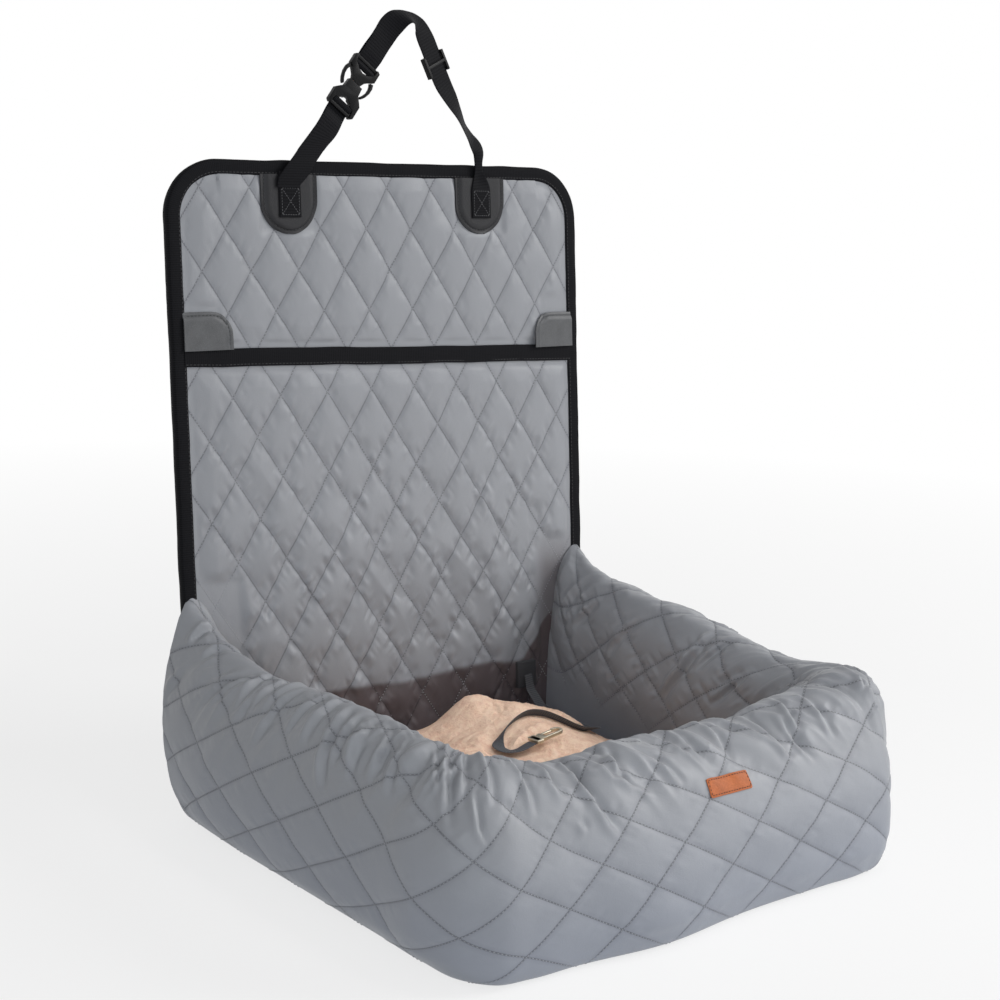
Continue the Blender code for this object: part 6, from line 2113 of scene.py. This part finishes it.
@dataclass
class Bed:
    """The bed's floor, label, zip and what lies under the bolsters."""

    label_width: float = 0.050
    label_height: float = 0.0172
    label_corner: float = 0.0022
    label_hem: float = 0.0017
    label_reach: float = 0.02
    chain_pitch: float = 0.0016

    def make_floor(self) -> None:
        """Make the quilted floor and the cloth underneath."""
        low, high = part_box("seat_quilt")
        piece, p, q = Bench.grid("floor_quilted_pad", 120, 110)
        x, y = low.x + (high.x - low.x) * p, low.y + (high.y - low.y) * q
        near = np.minimum(np.minimum(x - low.x, high.x - x), np.minimum(y - low.y, high.y - y))
        puff = relief((x + y) / 0.07, (x - y) / 0.07, 0.0022, 0.0004, 6.0, 51.0)
        z = low.z + 0.0012 + (0.0012 + puff) * np.sqrt(np.clip(near / 0.012, 0.0, 1.0))
        Bench.reshape(piece, np.stack([x, y, z], axis=1))
        Bench.thicken(piece, 0.0012)
        Bench.finish(piece, COVER, Slot.CLOTH)
        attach(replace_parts(piece, "seat_quilt"), Body.BED.value)
        piece = Bench.softened("base_bottom_cloth", "base_underside", 0.0008)
        Bench.finish(piece, LINING, Slot.LINING)
        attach(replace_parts(piece, "base_underside"), Body.BED.value)

    def make_label(self, cover: Thing) -> None:
        """Make the bare label on the front bolster, with its pressed border and stitches.

        Args:
            cover: The bolsters' cover, on which it lies.
        """
        bpy.context.view_layer.update()
        tree = BVHTree.FromPolygons([tuple(v.co) for v in cover.data.vertices],
                                    [tuple(f.vertices) for f in cover.data.polygons])
        low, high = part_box("label_patch")
        middle = (low + high) / 2
        found = tree.find_nearest(middle)
        out = Vector((0.0, found[1].y, found[1].z)).normalized()
        level, up = Vector((1.0, 0.0, 0.0)), Vector((0.0, out.z, -out.y))
        piece, p, q = Bench.grid("front_label", 60, 28)
        half_a, half_b = self.label_width / 2, self.label_height / 2
        a, b = (p - 0.5) * self.label_width, (q - 0.5) * self.label_height
        a, b = round_corners(a, b, half_a - self.label_corner, half_b - self.label_corner, self.label_corner)
        edge = np.minimum(half_a - np.abs(a), half_b - np.abs(b))

        def laid(i: float, j: float) -> tuple[float, ...]:
            """The point of the cover under a place on the label."""
            start = middle + level * i + up * j + out * self.label_reach
            return tuple(tree.ray_cast(start, -out)[0] or start - out * self.label_reach)
        out_line, up_line, centre = np.array(out), np.array(up), np.array(middle)
        offset = (np.array([laid(float(i), float(j)) for i, j in zip(a, b)]) - centre) @ out_line
        smooth_offset = np.polyval(np.polyfit(b, offset, 2), b) * 0.6 + offset * 0.4
        base = (centre + a[:, None] * np.array(level) + b[:, None] * up_line
                + np.maximum(smooth_offset, offset)[:, None] * out_line)
        lift = 0.0014 - 0.0004 * np.exp(-((edge - 0.0016) / 0.0005) ** 2)
        lift -= 0.0005 * (1 - ease(edge, 0.0, 0.0008))
        Bench.reshape(piece, base + lift[:, None] * out_line)
        Bench.thicken(piece, 0.0013)
        Bench.finish(piece, TAN, Slot.LABEL, 50.0)
        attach(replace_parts(piece, "label_patch"), Body.BED.value)
        needle = Needle("front_label_stitching", *LABEL_EDGING)
        half_a, half_b = half_a - self.label_hem, half_b - self.label_hem
        corners = [(-half_a, -half_b), (half_a, -half_b), (half_a, half_b), (-half_a, half_b)]
        share = np.linspace(0.0, 1.0, 24)[:, None]
        for (a0, b0), (a1, b1) in zip(corners, corners[1:] + corners[:1]):
            away = (a0 + (a1 - a0) * share - a) ** 2 + (b0 + (b1 - b0) * share - b) ** 2
            needle.sew(base[np.argmin(away, axis=1)] + out_line * 0.0013, out_line)
        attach(needle.knot(EDGE_THREAD, Slot.LABEL), Body.BED.value)

    def make_zip(self) -> None:
        """Make the zip's coil, slider and pull."""
        low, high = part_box("zipper_chain")
        count = int((high.y - low.y) / self.chain_pitch) * 6
        y = np.linspace(low.y, high.y, count)
        swell = 0.72 + 0.28 * np.abs(np.sin(math.pi * (y - low.y) / self.chain_pitch))
        angle, swell = round_angles(12), swell[:, None]
        middle, half = (low + high) / 2, (high - low) / 2
        x = middle.x + half.x * swell * np.cos(angle)
        z = middle.z + half.z * (0.8 + 0.2 * swell) * np.sin(angle)
        rings = np.stack(np.broadcast_arrays(x, y[:, None], z), axis=-1)
        piece = Bench.skin("zip_coil", rings)
        Bench.finish(piece, ZIP, Slot.ZIP)
        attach(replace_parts(piece, "zipper_chain"), Body.BED.value)
        Bench.hardware(METAL, Slot.METAL, ("zip_slider", "zipper_slider", Body.SLIDER, 0.0004),
                       ("zip_pull_tab", "zipper_pull", Body.PULL, 0.0004))

    def dress_hidden(self) -> None:
        """Give the hidden nodes their finishes."""
        for name, finish in (("base_foam", FOAM), ("cushion_fill", FOAM), ("base_board", BOARD)):
            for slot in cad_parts[name].material_slots:
                slot.material = finish.material()

    def build(self, cover: Thing) -> None:
        """Build the floor, the label and the zip.

        Args:
            cover: The bolsters' cover.
        """
        self.make_floor()
        self.make_label(cover)
        self.make_zip()
        self.dress_hidden()


# The tether


# Route of the tether over the cushion, in plan
TETHER_PLAN = ((0.165, 0.2345), (0.1662, 0.224), (0.1668, 0.205), (0.1650, 0.175), (0.1610, 0.140),
               (0.1540, 0.108), (0.1400, 0.085), (0.1220, 0.068), (0.1060, 0.064), (0.0900, 0.073),
               (0.0710, 0.084), (0.0520, 0.089), (0.0330, 0.087), (0.0150, 0.081), (0.0010, 0.072),
               (-0.0070, 0.060), (-0.0050, 0.048), (0.0030, 0.042), (0.0120, 0.041), (0.0200, 0.0415))


@dataclass
class Tether:
    """The safety tether: its sewn anchor, its webbing and its snap hook."""

    panel: BackPanel
    cushion: Cushion
    width: float = 0.012
    thickness: float = 0.0010
    lift: float = 0.0016
    end_rise: float = 0.0050
    anchor: tuple[float, float] = (0.165, 0.084)
    anchor_height: float = 0.030
    anchor_depth: float = 0.0060
    facing_depth: float = 0.0038
    gap: float = 0.0003
    hinge_gap: float = 0.0008

    def centre_line(self) -> tuple[Array, Array]:
        """The webbing's middle, and its direction across, where its solid lies.

        Returns:
            Points along the webbing, and a direction for each.
        """
        plan = np.array(TETHER_PLAN)
        padded = np.concatenate([plan[:1], plan, plan[-1:]])
        route = []
        for k in range(len(plan) - 1):
            p0, p1, p2, p3 = padded[k:k + 4]
            for t in (0.0, 0.5):
                route.append(0.5 * (2 * p1 + (p2 - p0) * t + (2 * p0 - 5 * p1 + 4 * p2 - p3) * t * t
                                    + (3 * p1 - p0 - 3 * p2 + p3) * t ** 3))
        route.append(plan[-1])
        flat = np.array(route)
        before = np.concatenate([flat[:1], flat[:-1]])
        after = np.concatenate([flat[1:], flat[-1:]])
        tangent = unit(after - before)
        across = np.stack([-tangent[:, 1], tangent[:, 0], np.zeros(len(flat))], axis=1)
        reach = self.width / 2
        heights = [self.cushion.height(flat[:, 0] + across[:, 0] * d, flat[:, 1] + across[:, 1] * d)
                   for d in (-reach, 0.0, reach)]
        height = np.max(heights, axis=0) + self.lift
        lifted = np.clip(1.0 - (len(flat) - 1 - np.arange(len(flat))) / 7.0, 0.0, None)
        height = height + self.end_rise * lifted ** 2 * (3.0 - 2.0 * lifted)
        root = self.panel.place(*self.anchor, 0.0)
        settle = np.minimum(1.0, np.arange(len(flat)) / 4.0)
        low = root[2] + (np.maximum(height, root[2] - self.anchor_height) - root[2]) * settle
        depth = self.facing_depth + self.anchor_depth + 2 * self.gap + self.hinge_gap
        face = self.panel.place(*self.anchor, depth)
        points = np.column_stack([flat, low])
        keep = points[:, 1] < face[1] - self.width / 4
        points = np.concatenate([[[flat[0, 0], face[1], face[2]]], points[keep]])
        across = np.concatenate([across[:1], across[keep]])
        return points, across

    def build(self) -> None:
        """Build the anchor, the webbing and the hook."""
        points, across = self.centre_line()
        lengths = arc_lengths(points)
        places = np.linspace(0.0, lengths[-1], 230)
        line = hermite(points, lengths, places)
        side = unit(np.stack([np.interp(places, lengths, across[:, k]) for k in range(3)], axis=1))
        share = places / lengths[-1]
        tilt = 0.10 * np.sin(places * 46.0) + 1.35 * ease(share, 0.44, 0.62) * (1 - ease(share, 0.80, 0.90))
        side = unit(side + np.array([0.0, 0.0, 1.0]) * tilt[:, None])
        piece = Bench.ribbon("tether_webbing", TETHER_WEAVE, line, side, self.width, self.thickness, steps=16,
                             edge=0.5)
        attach(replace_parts(piece, "tether_strap"), Body.TETHER.value)
        metal = Bench.hardware(METAL, Slot.METAL, ("hook_swivel_eye", "hook_swivel", Body.TETHER, 0.0006),
                               ("hook_frame", "hook_body", Body.HOOK, 0.0006),
                               ("hook_spring_gate", "hook_gate", Body.GATE, 0.0006))
        made = Bench.softened("tether_sewn_anchor", "tether_anchor", 0.0015, 3)
        Bench.finish(made, LINING, Slot.WEBBING)
        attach(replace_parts(made, "tether_anchor"), Body.BED.value)


# The studio


@dataclass(frozen=True)
class Lamp:
    """A soft square lamp that faces a point."""

    name: str
    place: tuple[float, float, float]
    target: tuple[float, float, float]
    size: float
    power: float
    colour: tuple[float, float, float] = (1.0, 1.0, 1.0)
    spread: float = 180.0

    def hang(self) -> None:
        """Add the lamp to the scene."""
        data = bpy.data.lights.new(self.name, "AREA")
        data.shape, data.size, data.energy, data.color = "SQUARE", self.size, self.power, self.colour
        data.spread = math.radians(self.spread)
        item = bpy.data.objects.new(self.name, data)
        bpy.context.scene.collection.objects.link(item)
        aim = (Vector(self.target) - Vector(self.place)).to_track_quat("-Z", "Y")
        item.matrix_world = Matrix.Translation(self.place) @ aim.to_matrix().to_4x4()


LAMPS = (Lamp("key_light", (2.2, -1.2, 1.9), (0.0, 0.0, 0.2), 1.2, 40.0),
         Lamp("front_light", (-1.5, -2.0, 0.5), (0.0, -0.1, 0.1), 1.2, 15.0, (0.86, 0.93, 1.0)),
         Lamp("side_light", (0.7, -0.9, 0.25), (0.2, -0.2, 0.1), 0.5, 2.5),
         Lamp("top_light", (0.05, -0.30, 1.1), (0.0, 0.03, 0.08), 0.25, 0.22, spread=50.0))


@dataclass
class Studio:
    """The camera, the lights and the pale floor."""

    eye: tuple[float, float, float] = (-1.1026, -1.3072, 0.6712)
    yaw: float = 0.6705
    pitch: float = 0.1933
    roll: float = -0.0382
    lens: float = 66.62
    sensor: float = 36.0
    floor_size: float = 14.0
    floor_level: float = -0.0004
    sky_dim: float = 0.35
    sky_bright: float = 1.0

    def camera(self) -> None:
        """Set up the camera of the photograph."""
        flat = math.cos(self.pitch)
        forward = Vector((math.sin(self.yaw) * flat, math.cos(self.yaw) * flat, -math.sin(self.pitch)))
        right = Vector((math.cos(self.yaw), -math.sin(self.yaw), 0.0))
        down = forward.cross(right)
        level = right * math.cos(self.roll) + down * math.sin(self.roll)
        plumb = down * math.cos(self.roll) - right * math.sin(self.roll)
        data = bpy.data.cameras.new("photograph_camera")
        data.lens, data.sensor_width, data.clip_start, data.clip_end = self.lens, self.sensor, 0.05, 30.0
        item = bpy.data.objects.new("photograph_camera", data)
        bpy.context.scene.collection.objects.link(item)
        columns = Matrix((level, -plumb, -forward)).transposed()
        item.matrix_world = Matrix.Translation(self.eye) @ columns.to_4x4()
        bpy.context.scene.camera = item

    @staticmethod
    def straight(tree: bpy.types.NodeTree) -> Socket:
        """One for the rays that see a white backdrop: the camera's, mirrored ones and transmitted ones.

        Args:
            tree: Where the nodes go.

        Returns:
            The answer's socket.
        """
        rays = tree.nodes.new("ShaderNodeLightPath").outputs
        seen = rays["Is Camera Ray"]
        for kind in ("Is Glossy Ray", "Is Transmission Ray"):
            either = tree.nodes.new("ShaderNodeMath")
            either.operation = "MAXIMUM"
            for socket, place in zip((seen, rays[kind]), either.inputs):
                tree.links.new(socket, place)
            seen = either.outputs[0]
        return seen

    @staticmethod
    def mixed(tree: bpy.types.NodeTree, share: Socket, first: Socket, second: Socket, output: Socket) -> None:
        """Wire an output to a mix of two shaders.

        Args:
            tree: Where the nodes go.
            share: How much of the second shader is taken.
            first: First shader.
            second: Second shader.
            output: The output's socket.
        """
        mix = tree.nodes.new("ShaderNodeMixShader")
        for place, socket in enumerate((share, first, second)):
            tree.links.new(socket, mix.inputs[place])
        tree.links.new(mix.outputs[0], output)

    def sky(self) -> None:
        """Make a dim sky behind a white backdrop."""
        world = bpy.context.scene.world or bpy.data.worlds.new("studio_world")
        bpy.context.scene.world = world
        world.use_nodes = True
        tree = world.node_tree
        tree.nodes.clear()
        output = tree.nodes.new("ShaderNodeOutputWorld").inputs["Surface"]
        skies = []
        for strength in (self.sky_dim, self.sky_bright):
            made = tree.nodes.new("ShaderNodeBackground")
            made.inputs["Color"].default_value = (1.0, 1.0, 1.0, 1.0)
            made.inputs["Strength"].default_value = strength
            skies.append(made.outputs[0])
        self.mixed(tree, self.straight(tree), *skies, output)

    def floor(self) -> None:
        """Make the pale floor, which fades into the backdrop away from the bed."""
        Bench.clear()
        bpy.ops.mesh.primitive_plane_add(size=self.floor_size, location=(0.0, 0.0, self.floor_level))
        floor = bpy.context.object
        floor.name = "studio_floor"
        graph = Graph("pale_floor", (0.92, 0.92, 0.92), 0.9)
        light = graph.node("ShaderNodeEmission", Color=(1.0, 1.0, 1.0), Strength=1.0).outputs[0]
        far = graph.node("ShaderNodeVectorMath", operation="LENGTH", Vector=graph.places.outputs["Object"])
        fade = graph.node("ShaderNodeMapRange", Value=far.outputs["Value"], From_Min=0.8, From_Max=2.4,
                          To_Min=0.74, To_Max=1.0)
        share = graph.calc("MULTIPLY", self.straight(graph.tree), fade.outputs[0])
        output = graph.tree.nodes["Material Output"].inputs["Surface"]
        self.mixed(graph.tree, share, graph.shader.outputs[0], light, output)
        floor.data.materials.append(graph.material)

    def build(self) -> None:
        """Build the camera, the lamps, the sky and the floor."""
        self.camera()
        for lamp in LAMPS:
            lamp.hang()
        self.sky()
        self.floor()
        bpy.context.scene.view_settings.view_transform = "Standard"


def main() -> None:
    """Build the dressed car seat and the studio round it."""
    logging.basicConfig(level=logging.INFO, format="%(name)s %(message)s")
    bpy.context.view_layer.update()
    Studio().build()
    panel = BackPanel()
    panel.build()
    HeadrestStrap(panel).build()
    cover = Bolsters(panel).build()
    cushion = Cushion()
    tether = Tether(panel, cushion)
    cushion.build(tether.centre_line()[0])
    Bed().build(cover)
    tether.build()


if __name__ == "__main__":
    main()
